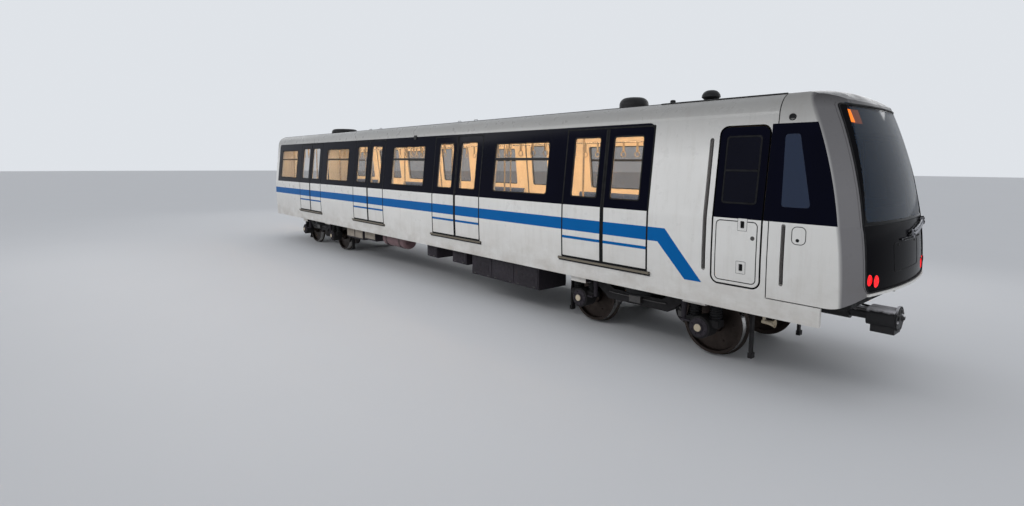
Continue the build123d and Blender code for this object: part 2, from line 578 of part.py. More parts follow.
PARTS["bulkhead_door"] = bulk_door
PARTS["door_hinges"] = Compound(knuckles)

# Driver's desk and seat; columns: x from the foremost door's centre, height above the floor
DESK_LINE = [(2720, 0), (2720, 560), (2600, 680), (2600, 730), (2960, 800), (3080, 960),
             (3150, 960), (3250, 0)]
desk_profile = Polygon(*DESK_LINE, align=None)
desk = Pos(DOOR1_X, 0, FLOOR_Z) * across(desk_profile)
desk = desk & block(0, LENGTH, -950, 950, 0, SKY) & nose(CAB_WALL + 60)
PARTS["driver_desk"] = desk
seat_x = DOOR1_X + 2330
seat = block(seat_x - 220, seat_x + 230, -240, 240, FLOOR_Z + 430, FLOOR_Z + 530)
seat = seat + block(seat_x - 260, seat_x - 160, -240, 240, FLOOR_Z + 430, FLOOR_Z + 1120)
seat = seat + post(seat_x, 0, 60, FLOOR_Z, FLOOR_Z + 430)
PARTS["driver_seat"] = seat


# Bogies: outboard frame, axle boxes with springs, air springs, and the wheelsets
def side_beam():
    """One side beam, dipped in the middle under the air spring."""
    beam = Polygon((-1330, 790), (-1330, 850), (-1260, 868), (-700, 868), (-420, 700), (420, 700), (700, 868),
                   (1260, 868), (1330, 850), (1330, 790), (800, 760), (520, 540), (-520, 540), (-800, 760),
                   align=None)
    return Pos(0, BEAM_Y, 0) * extrude(Plane.XZ * beam, amount=85, both=True)


def bogie_frame(cx):
    """An H frame of two side beams and two cross tubes round the pivot bush."""
    frame = side_beam() + mirror(side_beam(), about=Plane.XZ)
    for x in (-260, 260):
        frame = frame + tube_y(x, 610, 85, -BEAM_Y + 80, BEAM_Y - 80)
    frame = frame + block(-260, 260, -150, 150, 560, 680)
    frame = frame - post(0, 0, PIVOT_R + 6, 500, 800)
    for sx in (-1, 1):
        bracket = block(sx * 300, sx * (MOTOR_X - 100), 120, 480, 560, 640)
        frame = frame + bracket + mirror(bracket, about=Plane.XZ)
        frame = frame - tube_y(sx * MOTOR_X, MOTOR_Z, MOTOR_R, -600, 600)
    return Pos(cx, 0, 0) * frame


def traction_motors(cx):
    """Two motors hung across the bogie, each beside its axle, with a narrower end bell."""
    solids = []
    for sx in (-1, 1):
        motor = tube_y(sx * MOTOR_X, MOTOR_Z, MOTOR_R, -sx * 560, sx * 60)
        motor = motor + tube_y(sx * MOTOR_X, MOTOR_Z, MOTOR_R - 50, -sx * 600, -sx * 560)
        solids.append(Pos(cx, 0, 0) * motor)
    return Compound(solids)


def suspension(cx):
    """Axle boxes with their rubber and coil springs, and the air springs on the beams."""
    pieces = []
    for sx in (-1, 1):
        x = sx * WHEELBASE / 2
        box = tube_y(x, AXLE_Z, 150, BOX_Y0, BOX_Y1)
        box = box + block(x - 230, x + 230, BOX_Y0 + 10, BOX_Y1 - 60, AXLE_Z + 20, AXLE_Z + 110)
        box = box - tube_y(x, AXLE_Z, JOURNAL_R + 0.5, BOX_Y0 - 5, BOX_Y1 - 30)
        for dx in (-150, 150):
            box = box + post(x + dx, BEAM_Y, 72, AXLE_Z + 100, 800)
        pieces.append(box - side_beam())
    pieces.append(post(0, BEAM_Y - 40, 250, 700, SILL_LOW_Z - 6))
    solids = []
    for piece in pieces:
        solids += [Pos(cx, 0, 0) * s for s in both(piece)]
    return Compound(solids)


def wheelset(x):
    """Axle, two wheels and two brake discs as one turned piece about the axle's line."""
    tread_y = BACK_Y + WHEEL_W
    half = [(0, 90), (400, 90), (400, 300), (440, 300), (440, 90), (600, 90), (620, 130), (BACK_Y - 20, 130),
            (BACK_Y + 10, 380), (BACK_Y, 390), (BACK_Y, FLANGE_R - 8), (BACK_Y + 10, FLANGE_R),
            (BACK_Y + 22, FLANGE_R), (BACK_Y + 36, WHEEL_R + 3), (tread_y, WHEEL_R - 5), (tread_y, 385),
            (tread_y - 60, 375), (tread_y - 60, 140), (tread_y + 10, 130), (tread_y + 30, 95),
            (BOX_Y0 - 20, 80), (BOX_Y0 - 20, JOURNAL_R), (BOX_Y1 - 40, JOURNAL_R), (BOX_Y1 - 40, 0), (0, 0)]
    # columns: distance from the car's middle along Y, radius
    turned = revolve(Plane.XY * Polygon(*[(r, y) for y, r in half], align=None), axis=Axis.Y)
    return Pos(x, 0, AXLE_Z) * (turned + mirror(turned, about=Plane.XZ))


number = 0
for end_name, cx in BOGIE_XS.items():
    PARTS[f"bogie_frame_{end_name}"] = bogie_frame(cx)
    PARTS[f"suspension_{end_name}"] = suspension(cx)
    PARTS[f"traction_motors_{end_name}"] = traction_motors(cx)
    for sx in (1, -1):
        number += 1
        PARTS[f"wheelset_{number}"] = wheelset(cx + sx * WHEELBASE / 2)

# Underfloor cases, x from the foremost door's centre; columns: x0, x1, lowest z
CASES = [(-9070, -8110, 560), (-8010, -7420, 600), (-5000, -4620, 560), (-4040, -3560, 560),
         (-3370, -1480, 420)]
cases = []
for x0, x1, z0 in CASES:
    case = block(DOOR1_X + x0, DOOR1_X + x1, 560, 1235, z0, SILL_LOW_Z)
    cases += both(fillet(case.edges().filter_by(Axis.X), 30))
for x0, x1, dz in JACK_PADS:
    cases += both(block(DOOR1_X + x0, DOOR1_X + x1, 1190, SKIRT_Y - WALL - 8, FLOOR_Z + dz, SILL_LOW_Z))
PARTS["underfloor_cases"] = Compound(cases)
tank = tube_x(1040, 745, 190, DOOR1_X - 7100, DOOR1_X - 6030)
tank = fillet(tank.edges(), 80)
tank = tank + block(DOOR1_X - 6900, DOOR1_X - 6850, 930, 1150, 850, SILL_LOW_Z)
tank = tank + block(DOOR1_X - 6280, DOOR1_X - 6230, 930, 1150, 850, SILL_LOW_Z)
PARTS["air_reservoirs"] = Compound(both(tank))

# Front coupler and rear drawbar
COUPLER_Z = 790
coupler = tube_x(0, COUPLER_Z, 75, DOOR1_X + 2300, DOOR1_X + 3150)
coupler = coupler + tube_x(0, COUPLER_Z, 105, DOOR1_X + 2560, DOOR1_X + 2900)
head = block(DOOR1_X + 3110, DOOR1_X + 3405, -170, 170, COUPLER_Z - 110, COUPLER_Z + 100)
head = fillet(head.edges().filter_by(Axis.X), 70)
head = head + tube_x(0, COUPLER_Z - 5, 150, DOOR1_X + 3395, DOOR1_X + 3422)
head = head - tube_x(-80, COUPLER_Z - 5, 52, DOOR1_X + 3360, DOOR1_X + 3430)
head = head + Pos(DOOR1_X + 3436, 80, COUPLER_Z - 5) * Rot(0, 90, 0) * Cone(48, 22, 28)
coupler = coupler + head
coupler = coupler + block(DOOR1_X + 3150, DOOR1_X + 3400, -120, 120, COUPLER_Z - 190, COUPLER_Z - 100)
coupler = coupler + block(DOOR1_X + 2250, DOOR1_X + 2330, -160, 160, COUPLER_Z - 120, SILL_LOW_Z)
PARTS["front_coupler"] = coupler
drawbar = tube_x(0, COUPLER_Z, 80, GANGWAY_END_X + 5, REAR_X + 900)
drawbar = drawbar + block(REAR_X + 850, REAR_X + 930, -160, 160, COUPLER_Z - 120, SILL_LOW_Z)
PARTS["rear_drawbar"] = drawbar

# Roof domes; columns: x from the foremost door's centre, radius, height, the stem's share of the radius
DOMES = [(-520, 240, 204, 1.0), (225, 42, 110, 1.0), (870, 135, 200, 0.68), (-11800, 400, 150, 1.0)]
domes = []
for x, radius, height, stem in DOMES:
    base = CROWN_Z - 20
    if stem < 1:
        foot, rim, top = radius * stem, CROWN_Z + height * 0.5, CROWN_Z + height
        profile = make_face([
            Line((0, base), (foot, base)), Line((foot, base), (foot, rim - radius * 0.3)),
            Line((foot, rim - radius * 0.3), (radius, rim)),
            ThreePointArc((radius, rim), (radius * 0.8, rim + height * 0.33), (radius * 0.3, top)),
            Line((radius * 0.3, top), (0, top)), Line((0, top), (0, base)),
        ])
        dome = Pos(DOOR1_X + x, 0, 0) * revolve(Plane.XZ * profile, axis=Axis.Z)
    else:
        dome = post(DOOR1_X + x, 0, radius, base, CROWN_Z + height)
        dome = fillet(dome.edges().sort_by(Axis.Z)[-1], min(height * 0.7, radius * 0.5))
    domes.append(dome - body_solid(0, DOOR1_X + x - 500, DOOR1_X + x + 500))
PARTS["roof_domes"] = Compound([s for d in domes for s in d.solids()])

os.makedirs("parts", exist_ok=True)
for name, shape in PARTS.items():
    solids = shape.solids()
    export_step(Compound(list(solids)), f"parts/{name}.step")
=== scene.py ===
import bpy, bmesh, json, math
from mathutils import Matrix, Vector


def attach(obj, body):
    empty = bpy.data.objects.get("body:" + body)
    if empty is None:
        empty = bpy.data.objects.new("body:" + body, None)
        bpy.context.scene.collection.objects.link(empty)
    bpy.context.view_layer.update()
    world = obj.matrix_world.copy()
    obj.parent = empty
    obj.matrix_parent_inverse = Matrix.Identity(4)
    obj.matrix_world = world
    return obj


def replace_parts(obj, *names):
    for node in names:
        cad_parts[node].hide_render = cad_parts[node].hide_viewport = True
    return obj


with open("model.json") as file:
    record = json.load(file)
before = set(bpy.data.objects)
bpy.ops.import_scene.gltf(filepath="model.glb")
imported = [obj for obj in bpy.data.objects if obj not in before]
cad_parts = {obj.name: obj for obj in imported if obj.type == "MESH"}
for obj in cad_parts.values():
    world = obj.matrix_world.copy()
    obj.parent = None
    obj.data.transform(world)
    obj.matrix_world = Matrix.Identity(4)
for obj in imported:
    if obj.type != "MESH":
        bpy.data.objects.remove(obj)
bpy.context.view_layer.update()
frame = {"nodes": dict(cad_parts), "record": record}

nodes = frame["nodes"]
scene = bpy.context.scene

# Driving sizes of the car, in metres: +X towards the cab, +Y the left side, floor level and door places
FLOOR = 1.128
D1 = 5.62
PITCH = 3.75
DOOR_XS = [D1 - i * PITCH for i in range(4)]
WINDOW_XS = [D1 - (i + 0.5) * PITCH for i in range(3)] + [D1 - 13.08]
DOOR_HALF = 0.811
SEAL = 0.022
SEAL_MID = 0.06
DOOR_TOP = FLOOR + 1.992
WINDOW_HALF = 0.695
GLASS_LOW = FLOOR + 0.958
WINDOW_TOP = FLOOR + 1.815
DOOR_GLASS_TOP = FLOOR + 1.862
LEAF_GLASS = (0.118, 0.645)
REAR_X = D1 - 14.28
GANGWAY_X = -9.1
BULKHEAD_X = D1 + 1.5
CEILING_Z = 3.195
CROWN_Z = FLOOR + 2.355
SKIRT_Z = FLOOR - 0.285
SEAM_X = D1 + 2.44
FRONT_C = Vector((D1 - 2.242, 0, FLOOR - 0.006))
FRONT_R = 5.7
CAB_DOOR = (D1 + 1.74, D1 + 2.37, FLOOR + 0.01, FLOOR + 1.93)
CAB_GAP = 0.022
CAB_R = 0.11
FRONT_BOGIE, REAR_BOGIE = D1 + 0.44, D1 + 0.44 - 11.75
BOGIES = {"front": FRONT_BOGIE, "rear": REAR_BOGIE}
WHEELBASE = 2.1
AXLE_Z = 0.458
WHEEL_R = 0.43
COUPLER_Z = 0.79
SILL_LOW = 0.965
SIDES = (("right", -1), ("left", 1))
# The body's side: half width at each height
SECTION = [(0.843, 1.374), (1.5, 1.4), (1.935, 1.4), (3.385, 1.243)]
CANT_R = 0.29


def side_y(z):
    """Half width of the body's outer skin at height z."""
    for (z0, y0), (z1, y1) in zip(SECTION, SECTION[1:]):
        if z <= z1:
            return y0 + (y1 - y0) * (z - z0) / (z1 - z0)
    return SECTION[-1][1]


# The roof's arc and the round edge between it and the side
CORNER_Z, CORNER_Y = SECTION[-1]
ROOF_R = (CORNER_Y ** 2 + (CROWN_Z - CORNER_Z) ** 2) / (2 * (CROWN_Z - CORNER_Z))
ROOF_CZ = CROWN_Z - ROOF_R


def on_side(x, z, h):
    """The point at height h over the right side's skin."""
    return (x, -(side_y(z) + h), z)


# The bevel on the front corners: it starts at the edge, ends at the crease, and leans in above the waist
EDGE_Y = 1.104
WAIST_Y, WAIST_Z = 1.4, 1.935
CREASE_R = FRONT_R - 0.253
EDGE_R = math.sqrt(FRONT_R ** 2 - EDGE_Y ** 2)
LEAN = math.atan2(WAIST_Y - SECTION[-1][1], SECTION[-1][0] - WAIST_Z)
# The brow over the windscreen: an arc that goes on as a straight slope, turned about the roof's centre line
BROW_X, BROW_R, BROW_TURN = D1 + 2.59, 0.62, math.radians(50)
BROW_TOP = CROWN_Z + 0.003


def brow_x(y, z):
    """How far forward the brow's skin is at y and z."""
    drop = BROW_TOP - ROOF_CZ - math.hypot(y, z - ROOF_CZ)
    end = BROW_R * (1 - math.cos(BROW_TURN))
    if drop > end:
        return BROW_X + BROW_R * math.sin(BROW_TURN) + (drop - end) / math.tan(BROW_TURN)
    return BROW_X + math.sqrt(max(BROW_R ** 2 - (BROW_R - drop) ** 2, 0))


def front_x(y, z):
    """How far forward the front's skin is at y and z: the ball, the bevel near the corners or the brow."""
    over = brow_x(y, z)
    y = abs(y)
    ball = math.sqrt(FRONT_R ** 2 - y * y - (z - FRONT_C.z) ** 2)
    if z > WAIST_Z:
        dy, dz = y - WAIST_Y, z - WAIST_Z
        y = WAIST_Y + dy * math.cos(LEAN) + dz * math.sin(LEAN)
        z = WAIST_Z - dy * math.sin(LEAN) + dz * math.cos(LEAN)
    reach = CREASE_R + (EDGE_R - CREASE_R) * (WAIST_Y - y) / (WAIST_Y - EDGE_Y)
    return min(FRONT_C.x + ball, FRONT_C.x + math.sqrt(reach ** 2 - (z - FRONT_C.z) ** 2), over)


def on_front(y, z, h):
    """The point at height h over the front's skin, level with y and z."""
    step = 0.001
    x = front_x(y, z)
    away = Vector((1, (front_x(y - step, z) - front_x(y + step, z)) / (2 * step),
        (front_x(y, z - step) - front_x(y, z + step)) / (2 * step)))
    return tuple(Vector((x, y, z)) + away.normalized() * h)


def on_roof(x, y, h):
    """The point at height h over the roof's arc."""
    a = math.asin(y / ROOF_R)
    return (x, (ROOF_R + h) * math.sin(a), ROOF_CZ + (ROOF_R + h) * math.cos(a))


def cant_centre():
    """Centre in Y and Z of the round edge, which touches both the side and the roof's arc."""
    (z0, y0), (z1, y1) = SECTION[-2:]
    along = Vector((y1 - y0, z1 - z0)).normalized()
    start = Vector((y0, z0)) + Vector((-along.y, along.x)) * CANT_R
    b = start.x * along.x + (start.y - ROOF_CZ) * along.y
    q = start.x ** 2 + (start.y - ROOF_CZ) ** 2 - (ROOF_R - CANT_R) ** 2
    return start + along * (-b + math.sqrt(b * b - q))


CANT = cant_centre()


def cant_point(turn, h):
    """Y and Z on the round edge: turn 0 faces up and 1 faces sideways."""
    top = math.atan2(CANT.x, CANT.y - ROOF_CZ)
    (z0, y0), (z1, y1) = SECTION[-2:]
    low = math.pi / 2 - math.atan2(y0 - y1, z1 - z0)
    a = top + (low - top) * turn
    return CANT.x + (CANT_R + h) * math.sin(a), CANT.y + (CANT_R + h) * math.cos(a)


# Materials
def srgb(r, g, b):
    """A display colour of 0 to 255 as linear values."""
    out = []
    for v in (r, g, b):
        v = v / 255
        out.append(v / 12.92 if v <= 0.04045 else ((v + 0.055) / 1.055) ** 2.4)
    return (*out, 1.0)


class Graph:
    """A small helper for building a material's nodes."""

    def __init__(self, name):
        self.mat = bpy.data.materials.new(name)
        self.mat.use_nodes = True
        self.tree = self.mat.node_tree
        self.bsdf = self.tree.nodes["Principled BSDF"]
        self.coord = self.tree.nodes.new("ShaderNodeTexCoord")

    def join(self, value, socket):
        """Links a node's output to a socket, or sets the socket's own value."""
        if hasattr(value, "is_output"):
            self.tree.links.new(value, socket)
        else:
            socket.default_value = value

    def node(self, kind, inputs, **props):
        n = self.tree.nodes.new(kind)
        for key, value in props.items():
            setattr(n, key, value)
        for key, value in inputs.items():
            self.join(value, n.inputs[key])
        return n

    def surface(self, **sockets):
        """Sets or links sockets of the shader, whose names have _ for a blank here."""
        for key, value in sockets.items():
            self.join(value, self.bsdf.inputs[key.replace("_", " ")])

    def noise(self, scale, detail=4.0, rough=0.55, stretch=(1, 1, 1)):
        place = self.node("ShaderNodeMapping", {"Vector": self.coord.outputs["Object"], "Scale": stretch})
        sockets = {"Vector": place.outputs[0], "Scale": scale, "Detail": detail, "Roughness": rough}
        return self.node("ShaderNodeTexNoise", sockets).outputs["Fac"]

    def ramp(self, value, low, high, a=0.0, b=1.0):
        sockets = {"Value": value, "From Min": low, "From Max": high, "To Min": a, "To Max": b}
        return self.node("ShaderNodeMapRange", sockets).outputs["Result"]

    def math(self, op, a, b=0.0):
        return self.node("ShaderNodeMath", {0: a, 1: b}, operation=op).outputs[0]

    def vector(self, op, sockets, output=0):
        return self.node("ShaderNodeVectorMath", sockets, operation=op).outputs[output]

    def mix(self, fac, a, b):
        return self.node("ShaderNodeMix", {0: fac, 6: a, 7: b}, data_type="RGBA").outputs[2]

    def xyz(self, output="Object"):
        return self.node("ShaderNodeSeparateXYZ", {"Vector": self.coord.outputs[output]}).outputs[:3]

    def bump(self, height, strength, distance):
        relief = self.node("ShaderNodeBump", {"Height": height, "Strength": strength, "Distance": distance})
        self.surface(Normal=relief.outputs[0])


def shade(colour, k):
    return (colour[0] * k, colour[1] * k, colour[2] * k, 1.0)


BLACK = (0, 0, 0, 1)


def paint(name, colour, rough=0.35, var=0.06, metal=0.0, coat=0.0, bump=0.0, bump_scale=60.0, grime=0.0,
        grime_top=1.6, spec=0.5, fine=40.0, lit=0.0):
    """Painted or moulded surface: slow colour drift, uneven gloss, fine grain, grime low down, and with lit a
    glow that is painted light.
    """
    g = Graph(name)
    x, y, z = g.xyz()
    base = g.mix(g.ramp(g.noise(3.0, 3.0), 0.3, 0.7), shade(colour, 1 - var), shade(colour, 1 + var * 0.6))
    base = g.mix(g.ramp(g.noise(fine, 5.0), 0.35, 0.75, 0.0, 0.35), base, shade(colour, 1 - var * 2))
    rough_out = g.ramp(g.noise(fine * 0.4, 4.0), 0.3, 0.7, rough * 0.82, min(1.0, rough * 1.22))
    if grime:
        fall = g.ramp(z, SKIRT_Z, grime_top, 1.0, 0.0)
        patch = g.ramp(g.noise(1.6, 6.0, 0.65, (1, 1, 2.2)), 0.35, 0.75)
        amount = g.math("MULTIPLY", g.math("POWER", fall, 1.6), g.math("MULTIPLY", patch, grime))
        base = g.mix(amount, base, srgb(120, 104, 86))
        rough_out = g.math("ADD", rough_out, g.math("MULTIPLY", amount, 0.4))
    g.surface(Base_Color=base, Roughness=rough_out, Metallic=metal, Specular_IOR_Level=spec)
    if coat:
        g.surface(Coat_Weight=coat, Coat_Roughness=0.08)
    # Painted light: with lit set, the surface glows in its own colour behind the bulkhead, though it is no
    # lamp
    if lit:
        dark = g.ramp(x, BULKHEAD_X - 0.01, BULKHEAD_X + 0.004)
        g.surface(Emission_Color=g.mix(dark, base, BLACK), Emission_Strength=lit)
    if bump:
        g.bump(g.noise(bump_scale, 5.0), bump, 0.002)
    return g.mat


def body_paint(name, colour, mask=None):
    """Body paint with streaks, dust and painted shade low down, and painted shade high up; on the cab's
    bevel, its grey with painted shade; inside, a lining, warm in the saloon and dark in the cab, which glows
    in the saloon as painted light.
    """
    g = Graph(name)
    x, y, z = g.xyz()
    slow = g.noise(0.9, 4.0, 0.6, (1, 1, 1.5))
    base = g.mix(g.ramp(slow, 0.3, 0.7), shade(colour, 0.95), shade(colour, 1.03))
    streak = g.noise(5.0, 5.0, 0.7, (2.2, 2.2, 0.22))
    base = g.mix(g.ramp(streak, 0.5, 0.85, 0.0, 0.3), base, srgb(178, 172, 162))
    # Dust and painted shade low down: a patchy brown darkening, strongest at the skirt
    fall = g.ramp(z, SKIRT_Z, 1.75, 1.0, 0.0)
    patch = g.ramp(g.noise(2.1, 6.0, 0.68, (1, 1, 1.6)), 0.3, 0.75)
    dust_and_shade = g.math("MULTIPLY", g.math("POWER", fall, 1.8), g.math("MULTIPLY", patch, 0.55))
    base = g.mix(dust_and_shade, base, srgb(140, 124, 104))
    # Painted shade: from the window band up over the roof's edge the paint darkens with height, most of the
    # way to near black
    base = g.mix(g.ramp(z, FLOOR + 1.55, FLOOR + 2.34, 0.0, 0.78), base, srgb(16, 14, 12))
    facing = g.math("MULTIPLY", g.xyz("Normal")[1], y)
    below_roof = g.ramp(z, FLOOR + 2.15, FLOOR + 2.2, 1.0, 0.0)
    inner = g.math("MULTIPLY", g.ramp(facing, -0.02, -0.2, 0.0, 1.0), below_roof)
    if mask:
        from_centre = g.vector("SUBTRACT", {0: g.coord.outputs["Object"], 1: (FRONT_C.x, 0, FRONT_C.z)})
        reach = g.vector("LENGTH", {0: g.vector("MULTIPLY", {0: from_centre, 1: (1, 0, 1)})}, "Value")
        # The bevel's grey is its grey paint together with painted shade; it darkens as painted shade towards
        # the top, and more on the brow, with dust low down
        low = g.mix(g.ramp(z, FLOOR + 1.2, FLOOR + 2.1), mask, shade(mask, 0.72))
        grey = g.mix(g.ramp(z, CROWN_Z - 0.26, CROWN_Z - 0.08), low, shade(mask, 0.24))
        dusty = g.mix(g.math("MULTIPLY", patch, dust_and_shade), grey, srgb(96, 84, 72))
        base = g.mix(g.ramp(reach, FRONT_R - 0.27, FRONT_R - 0.235), base, dusty)
    lining = g.mix(g.ramp(x, BULKHEAD_X, BULKHEAD_X + 0.01), srgb(240, 212, 170), srgb(58, 60, 64))
    # Painted light: the saloon's inner faces above the floor glow warm, though they are no lamp
    lit = g.math("MULTIPLY", inner, g.ramp(x, BULKHEAD_X - 0.01, BULKHEAD_X, 1.0, 0.0))
    lit = g.math("MULTIPLY", lit, g.ramp(z, FLOOR - 0.005, FLOOR + 0.005))
    rough = g.ramp(g.noise(7.0, 4.0), 0.3, 0.7, 0.24, 0.4)
    g.surface(Base_Color=g.mix(inner, base, lining),
        Roughness=g.math("ADD", rough, g.math("MULTIPLY", dust_and_shade, 0.5)),
        Emission_Color=g.mix(lit, BLACK, srgb(255, 222, 178)), Emission_Strength=0.55,
        Coat_Weight=0.0 if mask else 0.2, Coat_Roughness=0.12, Specular_IOR_Level=0.06 if mask else 0.4)
    g.bump(g.noise(2.6, 2.0, 0.4), 0.05, 0.01)
    return g.mat


def glass(name, colour, alpha, cab=None, spec=0.9):
    """Tinted glass with faint smears; cab is its colour and alpha ahead of the bulkhead."""
    g = Graph(name)
    smear = g.noise(6.0, 5.0, 0.6, (1, 1, 0.5))
    tone = g.mix(g.ramp(smear, 0.3, 0.8), shade(colour, 0.9), shade(colour, 1.1))
    cover = g.ramp(smear, 0.25, 0.85, alpha, min(1.0, alpha + 0.05))
    if cab:
        ahead = g.ramp(g.xyz()[0], BULKHEAD_X, BULKHEAD_X + 0.05)
        tone = g.mix(ahead, tone, cab[0])
        cover = g.math("MAXIMUM", cover, g.math("MULTIPLY", ahead, cab[1]))
    g.surface(Base_Color=tone, Roughness=g.ramp(smear, 0.3, 0.8, 0.04, 0.088), Alpha=cover,
        Specular_IOR_Level=spec)
    return g.mat


def glow(name, colour, strength):
    """A lit diffuser, a little uneven along its length."""
    g = Graph(name)
    tone = g.mix(g.ramp(g.noise(8.0, 2.0), 0.3, 0.7), shade(colour, 0.92), colour)
    g.surface(Base_Color=tone, Emission_Color=tone, Emission_Strength=strength, Roughness=0.4)
    return g.mat


def lens(name, colour, strength):
    """A lit lamp's coloured lens, moulded in small prisms."""
    g = Graph(name)
    x, y, z = g.xyz()
    prism = g.math("SINE", g.math("MULTIPLY", g.math("ADD", y, z), 420.0))
    cross = g.math("SINE", g.math("MULTIPLY", g.math("SUBTRACT", y, z), 420.0))
    relief = g.math("MULTIPLY", prism, cross)
    tone = g.mix(g.ramp(relief, -1.0, 1.0), shade(colour, 0.75), colour)
    g.surface(Base_Color=tone, Emission_Color=tone, Emission_Strength=strength)
    g.surface(Specular_IOR_Level=0.1, Roughness=0.15)
    g.bump(relief, 0.3, 0.001)
    return g.mat


def upward(name, colour, bright):
    """Painted cast metal with a painted highlight: the faces that look up are pale, unevenly along the grain.
    """
    g = Graph(name)
    grain = g.noise(18.0, 6.0, 0.6)
    highlight_facing_up = g.math("ADD", g.xyz("Normal")[2], g.ramp(grain, 0.3, 0.7, -0.25, 0.1))
    g.surface(Base_Color=g.mix(g.ramp(highlight_facing_up, 0.35, 0.8), colour, bright))
    g.surface(Roughness=g.ramp(grain, 0.3, 0.75, 0.4, 0.65), Specular_IOR_Level=0.4)
    g.bump(grain, 0.3, 0.001)
    return g.mat


def metal(name, colour, rough=0.3, scale=30.0, stretch=(1, 1, 1), bump=0.1, wear=0.3):
    """Bare or worn metal with brushed or cast grain."""
    g = Graph(name)
    grain = g.noise(scale, 6.0, 0.6, stretch)
    base = g.mix(g.ramp(g.noise(2.5, 4.0), 0.35, 0.65), shade(colour, 1 - wear * 0.5), colour)
    base = g.mix(g.ramp(grain, 0.45, 0.8, 0.0, wear), base, shade(colour, 0.45))
    g.surface(Base_Color=base, Metallic=1.0, Roughness=g.ramp(grain, 0.3, 0.75, rough * 0.8, rough * 1.4))
    g.bump(grain, bump, 0.001)
    return g.mat


def plain(name, colour):
    """The stage's even, matt surface."""
    g = Graph(name)
    tone = g.mix(g.ramp(g.noise(0.4, 2.0), 0.3, 0.7), shade(colour, 0.99), colour)
    g.surface(Base_Color=tone, Roughness=0.9)
    return g.mat


WHITE = srgb(219, 217, 213)
MATERIALS = {
    "body_paint": body_paint("body_paint_mat", WHITE),
    "cab_paint": body_paint("cab_paint_mat", WHITE, srgb(122, 120, 121)),
    "roof_paint": body_paint("roof_paint_mat", shade(WHITE, 0.94)),
    "blue": paint("blue_film_mat", srgb(0, 92, 158), 0.35, 0.04, spec=0.08),
    "dark_glass": paint("dark_glass_mat", srgb(4, 5, 20), 0.1, 0.15, fine=12.0, spec=0.04),
    "side_glass": glass("side_glass_mat", srgb(84, 78, 70), 0.27, cab=(srgb(24, 38, 62), 0.94), spec=0.3),
    "cab_glass": glass("cab_glass_mat", srgb(8, 9, 22), 0.95, spec=0.08),
    "tinted_glass": glass("tinted_glass_mat", srgb(8, 32, 52), 0.56, spec=0.1),
    "black_gloss": paint("black_gloss_mat", srgb(4, 3, 7), 0.14, 0.15, grime=0.06, grime_top=1.5, spec=0.014),
    "frit": paint("frit_mat", srgb(4, 4, 7), 0.12, 0.15, spec=0.03, fine=30.0),
    "hatch_line": paint("hatch_line_mat", srgb(2, 2, 3), 0.6, 0.1, spec=0.2),
    "display_case": paint("display_case_mat", srgb(8, 8, 9), 0.5, 0.1, bump=0.1),
    "display_glow": glow("display_glow_mat", srgb(255, 128, 10), 7.0),
    "display_haze": glow("display_haze_mat", srgb(176, 92, 40), 1.6),
    "lamp_glass": lens("lamp_glass_mat", srgb(250, 16, 24), 1.0),
    "rubber": paint("rubber_mat", srgb(15, 15, 17), 0.7, 0.15, bump=0.2, spec=0.2),
    "bellows_rubber": paint("bellows_mat", srgb(26, 26, 29), 0.75, 0.2, bump=0.3, spec=0.3),
    "underframe_paint": paint("underframe_mat", srgb(22, 21, 22), 0.75, 0.25, bump=0.3, fine=25.0, spec=0.25),
    "bogie_paint": paint("bogie_mat", srgb(29, 27, 28), 0.7, 0.3, bump=0.4, fine=20.0, spec=0.3),
    "case_paint": paint("case_mat", srgb(42, 37, 43), 0.6, 0.2, bump=0.2, spec=0.3),
    "reservoir_paint": paint("reservoir_mat", srgb(118, 92, 94), 0.5, 0.2, bump=0.2, spec=0.3),
    "pale_case": paint("pale_case_mat", srgb(150, 140, 128), 0.55, 0.2, bump=0.2, spec=0.3),
    "steel": metal("steel_mat", srgb(96, 94, 93), 0.45),
    "wheel_steel": metal("wheel_steel_mat", srgb(72, 64, 60), 0.45, 14.0, bump=0.3, wear=0.6),
    "tread": metal("tread_mat", srgb(190, 188, 186), 0.22, 60.0, bump=0.05, wear=0.2),
    # Coupler head: dark, with a painted highlight on the faces that look up
    "coupler_metal": upward("coupler_mat", srgb(30, 29, 31), srgb(224, 221, 224)),
    "cover_beige": paint("cover_beige_mat", srgb(188, 174, 150), 0.5, 0.15, bump=0.1),
    "handle_metal": paint("handle_mat", srgb(66, 62, 60), 0.4, 0.1, metal=0.3),
    "sill_metal": metal("sill_mat", srgb(138, 130, 116), 0.42, 50.0, (0.1, 1, 1), 0.2, 0.2),
    "pole_steel": metal("pole_mat", srgb(206, 204, 200), 0.2, 60.0, bump=0.02, wear=0.1),
    # The ceiling panels glow as painted light
    "interior_panel": paint("interior_mat", srgb(250, 220, 180), 0.45, 0.08, lit=0.5),
    "light_diffuser": glow("diffuser_mat", srgb(255, 218, 168), 14.0),
    "seat_plastic": paint("seat_mat", srgb(58, 92, 150), 0.35, 0.1, coat=0.2),
    "desk_plastic": paint("desk_mat", srgb(46, 48, 52), 0.55, 0.1, bump=0.2, bump_scale=300.0),
    "seat_fabric": paint("fabric_mat", srgb(40, 42, 52), 0.9, 0.2, bump=0.6, bump_scale=500.0),
    "black_plastic": paint("black_plastic_mat", srgb(18, 18, 20), 0.45, 0.15, spec=0.25, bump=0.15,
                           bump_scale=200.0),
    "wiper_metal": paint("wiper_mat", srgb(150, 150, 155), 0.4, 0.08, metal=0.3),
    "grey_trim": paint("grey_trim_mat", srgb(120, 120, 122), 0.45, 0.08),
    "floor_vinyl": paint("floor_vinyl_mat", srgb(96, 92, 88), 0.55, 0.15, bump=0.1),
}


